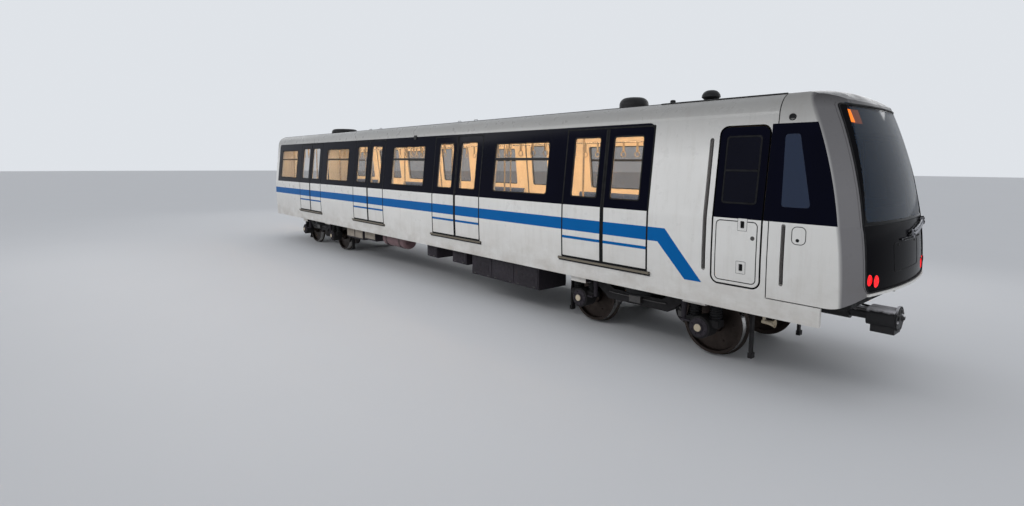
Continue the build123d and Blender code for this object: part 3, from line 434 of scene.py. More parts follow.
def wear_node(name, key):
    """Gives a CAD node its detailed material."""
    data = nodes[name].data
    data.materials.clear()
    data.materials.append(MATERIALS[key])


for row in frame["record"]["subparts"]:
    if row["material_slot"] in MATERIALS:
        wear_node(row["node"], row["material_slot"])
for side, sign in SIDES:
    wear_node(f"cab_door_glass_{side}", "cab_glass")
wear_node("air_reservoirs", "reservoir_paint")


# Mesh helpers
def put(name, data):
    """A new object in the scene."""
    obj = bpy.data.objects.new(name, data)
    scene.collection.objects.link(obj)
    return obj


def turns(count, first=0.0):
    """As many angles spread evenly over a full turn."""
    return [first + 2 * math.pi * k / count for k in range(count)]


def circle(centre, u, w, radius, steps):
    """Points of a circle about centre, in the plane of u and w."""
    return [centre + (u * math.cos(a) + w * math.sin(a)) * radius for a in turns(steps)]


class Build:
    """Collects many small forms into one mesh."""

    def __init__(self):
        self.verts, self.faces = [], []

    def add(self, verts, faces, flip=False):
        n = len(self.verts)
        self.verts += [tuple(v) for v in verts]
        for f in faces:
            f = tuple(i + n for i in f)
            self.faces.append(f[::-1] if flip else f)
        return self

    def mirrored(self):
        """The same forms on the other side of the car."""
        return Build().add([(x, -y, z) for x, y, z in self.verts], self.faces, flip=True)

    def mirror(self):
        """Adds the same again on the other side of the car."""
        other = self.mirrored()
        return self.add(other.verts, other.faces)

    def on(self, side):
        """The forms as they are for the right side, or mirrored for the left."""
        return self if side == "right" else self.mirrored()

    def box(self, x0, x1, y0, y1, z0, z1, bevel=0.0):
        """A box with bevelled edges, given by its limits."""
        low = Vector((min(x0, x1), min(y0, y1), min(z0, z1)))
        size = Vector((abs(x1 - x0), abs(y1 - y0), abs(z1 - z0)))
        bm = bmesh.new()
        bmesh.ops.create_cube(bm, size=1.0)
        for v in bm.verts:
            v.co = [low[i] + (v.co[i] + 0.5) * size[i] for i in range(3)]
        if bevel:
            bmesh.ops.bevel(bm, geom=bm.edges[:], offset=bevel, segments=2, profile=0.7, affect="EDGES")
        return self.take(bm)

    def take(self, bm):
        """Adds a bmesh, with its faces looking outwards."""
        bmesh.ops.recalc_face_normals(bm, faces=bm.faces[:])
        bm.verts.index_update()
        self.add([v.co for v in bm.verts], [[v.index for v in f.verts] for f in bm.faces])
        bm.free()
        return self

    def loft(self, rings, flip=False):
        """Joins rings of equally many points one to the next, with flat ends."""
        n = len(rings[0])
        faces = [tuple(range(n))[::-1], tuple(range((len(rings) - 1) * n, len(rings) * n))]
        for i in range(len(rings) - 1):
            for k in range(n):
                a, b = i * n + k, i * n + (k + 1) % n
                faces.append((a, b, b + n, a + n))
        return self.add([p for ring in rings for p in ring], faces, flip)

    def lathe(self, centre, axis, profile, steps=24):
        """A turned form: profile is distance along the axis and radius, about centre."""
        axis = Vector(axis).normalized()
        u = axis.orthogonal().normalized()
        w = axis.cross(u)
        return self.loft([circle(Vector(centre) + axis * along, u, w, radius, steps)
            for along, radius in profile])

    def tube(self, points, radius, steps=10):
        """A round bar through points, with flat ends."""
        pts = [Vector(p) for p in points]
        rings, u = [], None
        for i, p in enumerate(pts):
            d = (pts[min(i + 1, len(pts) - 1)] - pts[max(i - 1, 0)]).normalized()
            u = d.orthogonal().normalized() if u is None else (u - d * u.dot(d)).normalized()
            rings.append(circle(p, u, d.cross(u), radius, steps))
        return self.loft(rings)

    def plate(self, place, outline, proud, deep, hole=None, cuts=()):
        """A plate that follows a surface, from deep in it to proud of it, and bends at cuts: axis, value."""
        bm = bmesh.new()
        ring = [bm.verts.new((u, v, 0)) for u, v in outline]
        if hole:
            inner = [bm.verts.new((u, v, 0)) for u, v in hole]
            for i in range(len(ring)):
                j = (i + 1) % len(ring)
                bm.faces.new((ring[i], ring[j], inner[j], inner[i]))
        else:
            bm.faces.new(ring)
        for axis, value in cuts:
            co, no = ((value, 0, 0), (1, 0, 0)) if axis == 0 else ((0, value, 0), (0, 1, 0))
            bmesh.ops.bisect_plane(bm, geom=bm.verts[:] + bm.edges[:] + bm.faces[:], plane_co=co, plane_no=no)
        bm.verts.index_update()
        flat = [(v.co.x, v.co.y) for v in bm.verts]
        faces = [[v.index for v in f.verts] for f in bm.faces]
        edges = [[v.index for v in e.verts] for e in bm.edges if len(e.link_faces) == 1]
        bm.free()
        n = len(flat)
        out = bmesh.new()
        made = [out.verts.new(place(u, v, h)) for h in (proud, -deep) for u, v in flat]
        for f in faces:
            out.faces.new([made[i] for i in f])
            out.faces.new([made[i + n] for i in reversed(f)])
        for a, b in edges:
            out.faces.new([made[a], made[b], made[b + n], made[a + n]])
        return self.take(out)

    def side_plate(self, outline, proud, deep, hole=None):
        """A plate on the right side, with its outline in X and Z."""
        return self.plate(on_side, outline, proud, deep, hole, [(1, z) for z, y in SECTION[1:3]])

    def front_plate(self, outline, proud, deep, hole=None):
        """A plate on the round front, with its outline in Y and Z, cut finely where bevel and brow bend."""
        cuts = [(0, -1.05 + 0.15 * i) for i in range(15)] + [(1, FLOOR + 0.15 * i) for i in range(15)]
        cuts += [(0, side * (0.954 + 0.006 * i)) for side in (-1, 1) for i in range(28)]
        cuts += [(1, FLOOR + 2.08 + 0.008 * i) for i in range(11)]
        return self.plate(on_front, outline, proud, deep, hole, cuts)

    def obj(self, name, key, body="car_body", smooth=False):
        """The forms as one piece that rides on a body."""
        data = bpy.data.meshes.new(name)
        data.from_pydata(self.verts, [], self.faces)
        data.validate()
        if smooth:
            data.shade_smooth()
        data.materials.append(MATERIALS[key])
        piece = put(name, data)
        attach(piece, body)
        return piece


def rect(x0, x1, z0, z1, r=0.0):
    """A rounded rectangle in X and Z, from the low rear corner."""
    pts = []
    for x, z, start in ((x0, z0, 180), (x1, z0, 270), (x1, z1, 0), (x0, z1, 90)):
        if r <= 0:
            pts.append((x, z))
            continue
        cx = x + (r if x == x0 else -r)
        cz = z + (r if z == z0 else -r)
        for k in range(7):
            a = math.radians(start + 15 * k)
            pts.append((cx + r * math.cos(a), cz + r * math.sin(a)))
    return pts


def grown(x0, x1, z0, z1, r, by, r_by=None):
    """That rounded rectangle grown by a margin all round, and its radius by the same or by its own."""
    return rect(x0 - by, x1 + by, z0 - by, z1 + by, r + (by if r_by is None else r_by))


def rounded(points, radii):
    """A polygon's outline with each corner rounded by its radius."""
    pts, steps = [], 5
    for i, (p, r) in enumerate(zip(points, radii)):
        p = Vector(p)
        a = (Vector(points[i - 1]) - p).normalized()
        b = (Vector(points[(i + 1) % len(points)]) - p).normalized()
        half = a.angle(b) / 2
        mid = p + (a + b).normalized() * (r / math.sin(half))
        start = p + a * (r / math.tan(half)) - mid
        turn = math.pi - 2 * half
        side = 1 if a.x * b.y - a.y * b.x < 0 else -1
        for k in range(steps + 1):
            t = side * turn * k / steps
            pts.append((mid.x + start.x * math.cos(t) - start.y * math.sin(t),
                mid.y + start.x * math.sin(t) + start.y * math.cos(t)))
    return pts


# Livery: the blue band with its downward kink, and the thin line on the door leaves
BLUE_Z = (FLOOR + 0.437, FLOOR + 0.622)
THIN_Z = (FLOOR + 0.304, FLOOR + 0.346)
FILM, FILM_DEPTH = 0.0012, 0.0015
edges = [REAR_X + 0.02] + [e for x in reversed(DOOR_XS) for e in (x - DOOR_HALF, x + DOOR_HALF)]
stretches = [rect(a, b, *BLUE_Z) for a, b in zip(edges[0::2], edges[1::2])]
kink = [(0.811, 0.437), (0.971, 0.437), (1.386, -0.013), (1.628, -0.012), (1.077, 0.622), (0.811, 0.622)]
stretches.append([(D1 + x, FLOOR + z) for x, z in kink])
for x in DOOR_XS:
    for a, b in ((-DOOR_HALF + SEAL, -SEAL_MID / 2), (SEAL_MID / 2, DOOR_HALF - SEAL)):
        stretches += [rect(x + a, x + b, *BLUE_Z), rect(x + a, x + b, *THIN_Z)]
blue = Build()
for outline in stretches:
    blue.side_plate(outline, FILM, FILM_DEPTH)
blue.mirror().obj("blue_livery_film", "blue")

# Window gaskets, and the bars under the windows' upper panes
GASKET = 0.016
panes = [(x - WINDOW_HALF, x + WINDOW_HALF, GLASS_LOW, WINDOW_TOP, 0.05) for x in WINDOW_XS]
for x in DOOR_XS:
    for a, b in ((-LEAF_GLASS[1], -LEAF_GLASS[0]), LEAF_GLASS):
        panes.append((x + a, x + b, GLASS_LOW, DOOR_GLASS_TOP, 0.045))
gaskets = Build()
for pane in panes:
    gaskets.side_plate(grown(*pane, 0.004), 0.002, 0.012, grown(*pane, -GASKET, -0.01))
gaskets.mirror().obj("window_gaskets", "rubber")

HOPPER_Z = (FLOOR + 1.513, FLOOR + 1.557)
hoppers = Build()
for x in WINDOW_XS:
    hoppers.side_plate(rect(x - WINDOW_HALF + 0.012, x + WINDOW_HALF - 0.012, *HOPPER_Z), 0.003, 0.03)
hoppers.mirror().obj("hopper_rails", "black_plastic")


def edge_bar(build, x0, x1, turn0, turn1, low, high):
    """A bar along both roof edges, between two turns of the round edge and two heights over it."""
    for sign in (1, -1):
        corners = ((turn0, low), (turn0, high), (turn1, high), (turn1, low))
        line = [cant_point(turn, h) for turn, h in corners]
        build.loft([[(x, sign * y, z) for y, z in line] for x in (x0, x1)], flip=True)


# Dark joints at the cab's seam and below it, and the line along the roof's edge
JOINT, JOINT_TOP, JOINT_DEPTH = 0.012, -0.003, 0.007
CAB_LOW = FLOOR - 0.055
joints = Build()
joints.side_plate(rect(SEAM_X - JOINT, SEAM_X, CAB_LOW, CORNER_Z - 0.19), JOINT_TOP, JOINT_DEPTH)
joints.side_plate(rect(SEAM_X, D1 + 3.02, CAB_LOW - 0.006, CAB_LOW), JOINT_TOP, 0.03)
joints.mirror()
cant_line = [cant_point(1 - k / 8, 0) for k in range(9)]
for sign in (1, -1):
    for (ya, za), (yb, zb) in zip(cant_line, cant_line[1:]):
        out = Vector((sign * (ya + yb) / 2 - sign * CANT.x, (za + zb) / 2 - CANT.y)).normalized()
        corners = ((ya, za, JOINT_TOP), (ya, za, -JOINT_DEPTH), (yb, zb, -JOINT_DEPTH), (yb, zb, JOINT_TOP))
        ring = [(sign * y + out.x * h, z + out.y * h) for y, z, h in corners]
        joints.loft([[(x, y, z) for y, z in ring] for x in (SEAM_X - JOINT, SEAM_X)], flip=True)
edge_bar(joints, REAR_X + 0.02, D1 + 0.73, 0.09, 0.13, -0.002, 0.004)
ROOF_HALF = CANT.x - 0.02
joints.plate(on_roof, rect(SEAM_X - JOINT, SEAM_X, -ROOF_HALF, ROOF_HALF), JOINT_TOP, JOINT_DEPTH,
             cuts=[(1, -1 + 0.2 * i) for i in range(11)])
joints.obj("panel_joints", "rubber")

# The dark strip along each roof edge, from the middle dome forward
strip = Build()
edge_bar(strip, D1 + 0.74, SEAM_X - 0.02, 0.06, 0.16, -0.002, 0.01)
strip.obj("roof_edge_strips", "rubber")

# Cab doors: black lining in the opening, and the seal on the leaf's edge
CAB_X0, CAB_X1, CAB_Z0, CAB_Z1 = CAB_DOOR
lining = Build()
lining.side_plate(rect(*CAB_DOOR, CAB_R), -0.001, 0.052, grown(*CAB_DOOR, CAB_R, -0.0015))
lining.mirror().obj("cab_door_linings", "rubber")
LEAF = (CAB_X0 + CAB_GAP, CAB_X1 - CAB_GAP, CAB_Z0 + CAB_GAP, CAB_Z1 - CAB_GAP, CAB_R - CAB_GAP)
for side, sign in SIDES:
    seal = Build()
    seal.side_plate(grown(*LEAF, 0.002), -0.003, 0.036, rect(*LEAF))
    seal.on(side).obj(f"cab_door_seal_{side}", "rubber", f"cab_door_{side}")

# Cab door fittings: lock, step recesses with their floors and frames, drop window sash and inner line
LOCK = (D1 + 2.257, FLOOR + 0.612)
STEP_X, STEP_HALF = D1 + 2.129, 0.025
LINE = (CAB_X0 + 0.056, CAB_X1 - 0.056, CAB_Z0 + 0.056, FLOOR + 0.805, 0.058)
SASH = (CAB_X0 + 0.099, CAB_X1 - 0.099, FLOOR + 1.004, FLOOR + 1.807, 0.042)
for side, sign in SIDES:
    body = f"cab_door_{side}"
    lock = Build()
    lock.lathe((LOCK[0], sign * (side_y(LOCK[1]) - 0.003), LOCK[1]), (0, sign, 0),
        [(0, 0.027), (0.002, 0.027), (0.003, 0.024), (0.003, 0.01), (0.001, 0.009), (0.001, 0.0)])
    lock.obj(f"cab_door_lock_{side}", "steel", body)
    slots, frames, sash = Build(), Build(), Build()
    a, b = STEP_X - STEP_HALF, STEP_X + STEP_HALF
    for z in (FLOOR + 0.763, FLOOR + 0.251):
        mouth = (a, b, z - 0.043, z + 0.043, 0.012)
        frame_edge = (a - 0.03, b + 0.03, z - 0.072, z + 0.072, 0.009)
        slots.side_plate(grown(*mouth, -0.001), -0.0165, 0.0185)
        slots.side_plate(grown(*frame_edge, 0.004, 0.003), 0.0008, 0.001, rect(*frame_edge))
        frames.side_plate(rect(*frame_edge), 0.0018, 0.001, rect(*mouth))
    slots.side_plate(rect(*LINE), 0.0006, 0.0045, grown(*LINE, -0.011))
    sash.side_plate(rect(*SASH), -0.0005, 0.02, grown(*SASH, -0.019, -0.012))
    sash.side_plate(rect(SASH[0] + 0.019, SASH[1] - 0.019, FLOOR + 1.386, FLOOR + 1.408), -0.0008, 0.02)
    slots.on(side).obj(f"cab_door_steps_{side}", "rubber", body)
    frames.on(side).obj(f"cab_door_step_frames_{side}", "roof_paint", body)
    sash.on(side).obj(f"cab_door_sash_{side}", "rubber", body)

# Small fittings on the body side: vent, hatch with its lock, black strips below the sills as painted shadow,
# bracket over a window
VENT = (D1 + 2.58, FLOOR + 1.995)
HATCH_LOCK = (D1 + 2.756, FLOOR + 0.643)
SIDE_HATCH = (D1 + 2.69, D1 + 2.844, FLOOR + 0.594, FLOOR + 0.797, 0.058)
SILL_HALF = 0.86
small = Build()
x, z = VENT
y = side_y(z)
small.lathe((x, -(y - 0.002), z), (0, -1, 0),
    [(0, 0.04), (0.005, 0.04), (0.008, 0.036), (0.008, 0.03), (0.003, 0.028), (0.003, 0.0)])
small.lathe((x, -(y - 0.004), z), (0, -1, 0), [(0, 0.029), (0.003, 0.029), (0.003, 0.0)])
for k in range(-2, 3):
    half = math.sqrt(0.028 ** 2 - (k * 0.01) ** 2)
    small.box(x - half, x + half, -(y + 0.002), -(y + 0.0065), z + k * 0.01 - 0.002, z + k * 0.01 + 0.002)
x, z = HATCH_LOCK
small.lathe((x, -(side_y(z) - 0.001), z), (0, -1, 0),
    [(0, 0.019), (0.003, 0.019), (0.004, 0.016), (0.004, 0.0)], 18)
small.side_plate(rect(*SIDE_HATCH), 0.0006, 0.0045, grown(*SIDE_HATCH, -0.008))
# Painted shadow: a black strip under each door's sill, where the sill's edge shades the body
for x in DOOR_XS:
    small.side_plate(rect(x - SILL_HALF, x + SILL_HALF, FLOOR - 0.058, FLOOR - 0.033), 0.012, 0.012)
small.side_plate(rect(D1 - 5.435, D1 - 5.325, FLOOR + 1.965, FLOOR + 2.055, 0.02), 0.014, 0.014)
small.mirror().obj("side_fittings_and_sill_shadows", "black_plastic")

# Sills: capped ends with two screws each, and ribs along the tread
ends, ribs = Build(), Build()
for x in DOOR_XS:
    for s in (-1, 1):
        a, b = x + s * (SILL_HALF - 0.03), x + s * (SILL_HALF + 0.002)
        ends.box(a, b, -1.396, -1.4185, FLOOR - 0.033, FLOOR + 0.004, 0.003)
        for z in (FLOOR - 0.022, FLOOR - 0.008):
            ends.lathe(((a + b) / 2, -1.4182, z), (0, -1, 0), [(0, 0.0035), (0.0012, 0.003), (0.0015, 0)], 8)
    for k in range(5):
        y = 1.378 + k * 0.008
        ribs.box(x - SILL_HALF + 0.04, x + SILL_HALF - 0.04, -y, -(y + 0.003), FLOOR, FLOOR + 0.0025)
ends.mirror().obj("sill_ends", "steel")
ribs.mirror().obj("sill_ribs", "steel")

# Finger guards of rubber along the meeting edges of the passenger doors, and the black line round the leaves
nosings = Build()
for x in DOOR_XS:
    for s in (-1, 1):
        a, b = sorted((x + s * 0.003, x + s * (SEAL_MID / 2 + 0.004)))
        nosings.side_plate(rect(a, b, FLOOR + 0.012, DOOR_TOP - 0.03), 0.0014, 0.02)
    outline = rect(x - DOOR_HALF - 0.001, x + DOOR_HALF + 0.001, FLOOR + 0.001, DOOR_TOP + 0.001, 0.02)
    opening = rect(x - DOOR_HALF + 0.024, x + DOOR_HALF - 0.026, FLOOR + 0.03, DOOR_TOP - 0.021, 0.012)
    nosings.side_plate(outline, 0.0016, 0.01, opening)
nosings.mirror().obj("door_nosings", "rubber")


# Front: painted surround on the bevel, black border fired on the windscreen, rubber, hatch line and lamp rims
def front_ring(low, kink, top, radii):
    """A symmetric outline on the front from half width and height above the floor at three levels."""
    half = [(y, FLOOR + z) for y, z in (low, kink, top)]
    pts = [(-half[0][0], half[0][1]), *half, (-half[2][0], half[2][1]), (-half[1][0], half[1][1])]
    return rounded(pts, [radii[0], radii[0], 0.3, radii[1], radii[1], 0.3])


def front_band(y0, z0, y1, z1, radii):
    """A symmetric outline with straight sides between two levels."""
    corners = [(-y0, FLOOR + z0), (y0, FLOOR + z0), (y1, FLOOR + z1), (-y1, FLOOR + z1)]
    return rounded(corners, [radii[0], radii[0], radii[1], radii[1]])


frit = Build()
frit.front_plate(front_band(1.108, 0.834, 0.958, 2.15, (0.004, 0.05)), 0.004, 0.003,
    front_band(1.05, 0.862, 0.852, 2.114, (0.06, 0.035)))
frit.obj("windscreen_border", "frit")
surround = Build()
surround.front_plate(front_ring((1.124, 0.107), (1.124, 0.83), (0.984, 2.159), (0.119, 0.055)),
    0.005, 0.005, front_ring((1.105, 0.11), (1.105, 0.826), (0.955, 2.146), (0.103, 0.045)))
surround.obj("windscreen_surround", "cab_paint")
ring = Build()
ring.front_plate(front_ring((1.106, 0.109), (1.106, 0.826), (0.956, 2.147), (0.104, 0.046)), 0.012, 0.011,
    front_ring((1.09, 0.124), (1.09, 0.825), (0.938, 2.128), (0.09, 0.032)))
ring.front_plate(rect(-1.1, 1.1, FLOOR + 0.824, FLOOR + 0.836), 0.0034, 0.004)
ring.obj("windscreen_rubber", "rubber")
HATCH = (-0.44, 0.49, FLOOR + 0.277, FLOOR + 0.606, 0.05)
hatch = Build()
hatch.front_plate(rect(*HATCH), 0.0025, 0.002, grown(*HATCH, -0.007, -0.006))
for y in (-0.3, 0.35):
    a = Vector(on_front(y, HATCH[3] - 0.03, 0.0))
    hatch.lathe(a, a - FRONT_C, [(-0.002, 0.012), (0.003, 0.012), (0.004, 0.01), (0.004, 0.0)], 16)
hatch.obj("front_hatch_lines", "hatch_line")

# columns: distance from the car's middle, height above the floor, radius
LAMPS = [(1.034, 0.252, 0.062), (0.898, 0.228, 0.068)]
rims = Build()
for y, z, r in LAMPS:
    profile = [(-0.05, r + 0.001), (0.004, r + 0.001), (0.006, r - 0.001), (0.004, r - 0.004),
        (-0.05, r - 0.004)]
    for s in (-1, 1):
        rims.lathe(on_front(s * y, FLOOR + z, 0.0), (1, 0, 0), profile, 32)
rims.obj("lamp_rims", "black_plastic")

# Display box behind the windscreen's top, with a lit field at its right end, a dim one beside it and a shelf
case, field, haze, shelf = Build(), Build(), Build(), Build()
case.front_plate(rect(-0.93, 0.93, FLOOR + 1.838, FLOOR + 2.128, 0.02), -0.04, 0.22)
case.obj("display_box", "display_case")
slant = [(-0.846, 2.104), (-0.834, 1.96), (-0.729, 1.955), (-0.741, 2.099)]
field.front_plate([(y, FLOOR + z) for y, z in slant], -0.034, 0.041)
field.obj("display_field", "display_glow")
haze.front_plate(rect(-0.735, -0.56, FLOOR + 1.945, FLOOR + 2.102), -0.036, 0.041)
haze.obj("display_dim_field", "display_haze")
shelf.front_plate(rect(-0.95, 0.95, FLOOR + 1.8, FLOOR + 1.834), -0.016, 0.06)
shelf.obj("display_shelf", "rubber")

# Wiper: dark covers on the drive and the blade, a rubber strip and the joints' caps
PIVOT, TIP, LINK_RISE = (0.93, FLOOR + 0.748), (0.16, FLOOR + 0.655), 0.042
BLADE_Z = TIP[1] - 0.03
DRIVE_H, TIP_H = 0.0455, 0.042
wipe = Build()
wipe.front_plate(rect(TIP[0] - 0.344, TIP[0] + 0.344, BLADE_Z - 0.004, BLADE_Z + 0.004), 0.0035, -0.0008)
wipe.front_plate(rect(TIP[0] - 0.352, TIP[0] + 0.352, BLADE_Z - 0.0105, BLADE_Z + 0.0105, 0.008),
    0.0275, -0.015)
wipe.front_plate(rect(PIVOT[0] - 0.039, PIVOT[0] + 0.039, PIVOT[1] - 0.029, PIVOT[1] + 0.071, 0.021),
    DRIVE_H, 0.0)
for (y, z), h in ((PIVOT, DRIVE_H), (TIP, TIP_H)):
    for rise in (0.0, LINK_RISE):
        a = Vector(on_front(y, z + rise, h))
        wipe.lathe(a, a - FRONT_C, [(-0.004, 0.015), (0.004, 0.015), (0.007, 0.011), (0.008, 0.0)], 18)
wipe.obj("wiper_covers", "rubber")

# Cab inside: instrument panels, buttons and a lever on the desk, and the seat
DESK_TOP = [(D1 + 2.6, FLOOR + 0.73), (D1 + 2.96, FLOOR + 0.8), (D1 + 3.08, FLOOR + 0.96)]
DESK_UP = (-0.19, 0, 0.98)
desk = Build()
(xa, za), (xb, zb) = DESK_TOP[1:]
along = Vector((xb - xa, 0, zb - za)).normalized()
up = Vector((-along.z, 0, along.x))
for y in (-0.6, -0.3, 0.0, 0.3, 0.6):
    mid = Vector((xa, y, za)) + along * 0.1
    corners = [mid + along * u + Vector((0, v, 0))
        for u, v in ((-0.065, -0.115), (0.065, -0.115), (0.065, 0.115), (-0.065, 0.115))]
    desk.loft([corners, [p + up * 0.012 for p in corners]])
(xa, za), (xb, zb) = DESK_TOP[:2]
for k in range(12):
    for t in (0.35, 0.6):
        place = (xa + (xb - xa) * t, -0.55 + 0.1 * k, za + (zb - za) * t)
        desk.lathe(place, DESK_UP, [(0, 0.011), (0.012, 0.01), (0.014, 0.007), (0.014, 0)], 12)
desk.lathe((D1 + 2.76, 0.42, FLOOR + 0.755), DESK_UP,
    [(0, 0.03), (0.01, 0.028), (0.012, 0.01), (0.11, 0.009), (0.115, 0.02), (0.15, 0.02), (0.155, 0.012),
    (0.155, 0)])
desk.obj("desk_controls", "black_plastic")


def crowned(name, key, centre, size, crown, tilt=0.0):
    """A soft pad: a crowned closed form whose sides pull in between its corners, turned about Y by tilt."""
    bm = bmesh.new()
    bmesh.ops.create_cube(bm, size=2.0)
    bmesh.ops.subdivide_edges(bm, edges=bm.edges[:], cuts=9, use_grid_fill=True)
    sx, sy, sz = (v / 2 for v in size)
    turn = Matrix.Rotation(tilt, 4, "Y")
    for v in bm.verts:
        x, y, z = v.co
        swell = (1 - x * x) * (1 - y * y)
        pull = 1 - 0.035 * (1 - x * x) * abs(y) - 0.035 * (1 - y * y) * abs(x)
        edge = max(abs(x), abs(y)) ** 6
        rise = z * sz * (1 - 0.35 * edge) + (crown * swell if z > 0 else 0)
        seam = math.exp(-((abs(y) - 0.55) / 0.05) ** 2) * 0.006 if z > 0.9 else 0
        v.co = turn @ Vector((x * sx * pull, y * sy * pull, rise - seam)) + Vector(centre)
    pad = Build().take(bm).obj(name, key, smooth=True)
    return pad


SEAT_X = D1 + 2.33
cushion = crowned("driver_cushion", "seat_fabric", (SEAT_X + 0.015, 0, FLOOR + 0.485), (0.42, 0.46, 0.09),
    0.018)
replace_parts(cushion, "driver_seat")
crowned("driver_backrest", "seat_fabric", (SEAT_X - 0.205, 0, FLOOR + 0.81), (0.56, 0.44, 0.08), 0.016,
    math.radians(86))
support = Build()
support.box(SEAT_X - 0.2, SEAT_X + 0.21, -0.22, 0.22, FLOOR + 0.425, FLOOR + 0.445, 0.004)
support.box(SEAT_X - 0.262, SEAT_X - 0.245, -0.2, 0.2, FLOOR + 0.43, FLOOR + 1.08, 0.004)
support.lathe((SEAT_X, 0, FLOOR), (0, 0, 1),
    [(0, 0.15), (0.012, 0.15), (0.03, 0.065), (0.22, 0.06), (0.23, 0.045), (0.425, 0.045)])
for s in (-1, 1):
    support.box(SEAT_X - 0.23, SEAT_X + 0.05, s * 0.235, s * 0.25, FLOOR + 0.66, FLOOR + 0.69, 0.006)
support.obj("driver_seat_frame", "black_plastic")

# Saloon: moulded bench seats and their bases
SEATS = 5
BENCH_HALF = 0.98
SEAT_WIDTH = 2 * BENCH_HALF / SEATS
# A seat's profile, from the front lip to the top of the back: distance from the car's middle, height
SEAT_LINE = [(0.93, 0.335), (0.872, 0.35), (0.862, 0.395), (0.885, 0.428), (0.96, 0.43), (1.06, 0.418),
    (1.16, 0.412), (1.215, 0.424), (1.238, 0.47), (1.25, 0.56), (1.262, 0.7), (1.27, 0.82), (1.284, 0.86),
    (1.302, 0.866)]
ACROSS = (-1, -0.82, -0.4, 0, 0.4, 0.82, 1)


def seat_shell(seats, mid):
    """One dished seat, a centimetre thick, on the right side."""
    rows, wide = len(SEAT_LINE), len(ACROSS)
    verts = []
    for y, z in SEAT_LINE:
        lean = min(max((z - 0.43) / 0.05, 0), 1)
        for t in ACROSS:
            dish = 0.012 * (1 - t * t)
            verts.append((mid + t * (SEAT_WIDTH / 2 - 0.004), -(y + dish * lean),
                FLOOR + z - dish * (1 - lean)))
    faces = [(a, a + 1, a + wide + 1, a + wide) for i in range(rows - 1)
        for a in range(i * wide, i * wide + wide - 1)]
    n = len(verts)
    verts += [(x, y - 0.01, z - 0.01) for x, y, z in verts]
    faces += [tuple(i + n for i in reversed(f)) for f in faces]
    last = (rows - 1) * wide
    rim = [*range(wide)] + [i * wide + wide - 1 for i in range(1, rows)]
    rim += [*range(last + wide - 2, last - 1, -1)] + [i * wide for i in range(rows - 2, 0, -1)]
    faces += [(b, a, a + n, b + n) for a, b in zip(rim, rim[1:] + rim[:1])]
    seats.add(verts, faces)


seats, bases = Build(), Build()
for x in WINDOW_XS:
    for k in range(SEATS):
        seat_shell(seats, x - BENCH_HALF + (k + 0.5) * SEAT_WIDTH)
    bases.box(x - BENCH_HALF + 0.02, x + BENCH_HALF - 0.02, -0.96, -1.3, FLOOR, FLOOR + 0.325, 0.004)
    for k in range(6):
        a = x - BENCH_HALF + 0.12 + k * 0.3
        bases.box(a, a + 0.22, -0.957, -0.961, FLOOR + 0.08, FLOOR + 0.25, 0.002)
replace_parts(seats.mirror().obj("bench_seats", "seat_plastic", smooth=True), "benches")
bases.mirror().obj("bench_bases", "grey_trim")

# Saloon: hand loops on the rails, and flanges on the poles
RAIL_Y, RAIL_Z = 0.885, FLOOR + 1.88
POLE_Y, POLE_OUT = -0.83, BENCH_HALF + 0.022
FLANGE = [(0, 0.034), (0.006, 0.034), (0.012, 0.02), (0.035, 0.0175)]
loops, flanges = Build(), Build()
for x in WINDOW_XS:
    for k in range(6):
        a = x - 0.8 + k * 0.32
        loops.box(a - 0.012, a + 0.012, 0.018 - RAIL_Y, -0.018 - RAIL_Y, RAIL_Z - 0.19, RAIL_Z + 0.018, 0.002)
        loop = [(a + 0.055 * math.cos(t), -RAIL_Y, RAIL_Z - 0.235 + 0.05 * math.sin(t))
            for t in turns(14, math.pi / 2)]
        loops.tube(loop + loop[:1], 0.008, 6)
    for pole_x in (x - POLE_OUT, x + POLE_OUT):
        flanges.lathe((pole_x, POLE_Y, FLOOR), (0, 0, 1), FLANGE, 16)
        flanges.lathe((pole_x, POLE_Y, CEILING_Z), (0, 0, -1), FLANGE, 16)
loops.mirror().obj("hand_loops", "cover_beige")
flanges.mirror().obj("pole_flanges", "pole_steel")

# Saloon: floor covering, ceiling panels and the air grilles between them
BAYS = 12
BAY = (BULKHEAD_X - REAR_X - 0.1) / BAYS
vinyl, panels, grilles = Build(), Build(), Build()
vinyl.box(REAR_X + 0.085, BULKHEAD_X - 0.004, -1.28, 1.28, FLOOR + 0.0005, FLOOR + 0.003)
for k in range(BAYS):
    a = REAR_X + 0.09 + BAY * k
    for y0, y1 in ((-0.4, 0.4), (0.62, 1.02), (-1.02, -0.62)):
        panels.box(a + 0.006, a + BAY - 0.006, y0, y1, CEILING_Z - 0.008, CEILING_Z + 0.001, 0.002)
    mid = a + BAY / 2
    for y in [i * 0.022 for i in range(-6, 7)]:
        grilles.box(mid - 0.35, mid + 0.35, y - 0.006, y + 0.006, CEILING_Z - 0.014, CEILING_Z - 0.007)
vinyl.obj("floor_covering", "floor_vinyl")
panels.obj("ceiling_panels", "interior_panel")
grilles.obj("ceiling_grilles", "grey_trim")

# Roof: grilles in the round vents, bolts and handles of the equipment covers, bases of the domes
COVER_XS = (D1 - 4.7, D1 - 9.0)
COVER_LENGTH = 2.48
VENT_R, SLAT_PITCH = 0.2, 0.033
SLAT = ((-0.012, -0.004), (0.01, 0.006), (0.012, 0.004), (-0.01, -0.006))


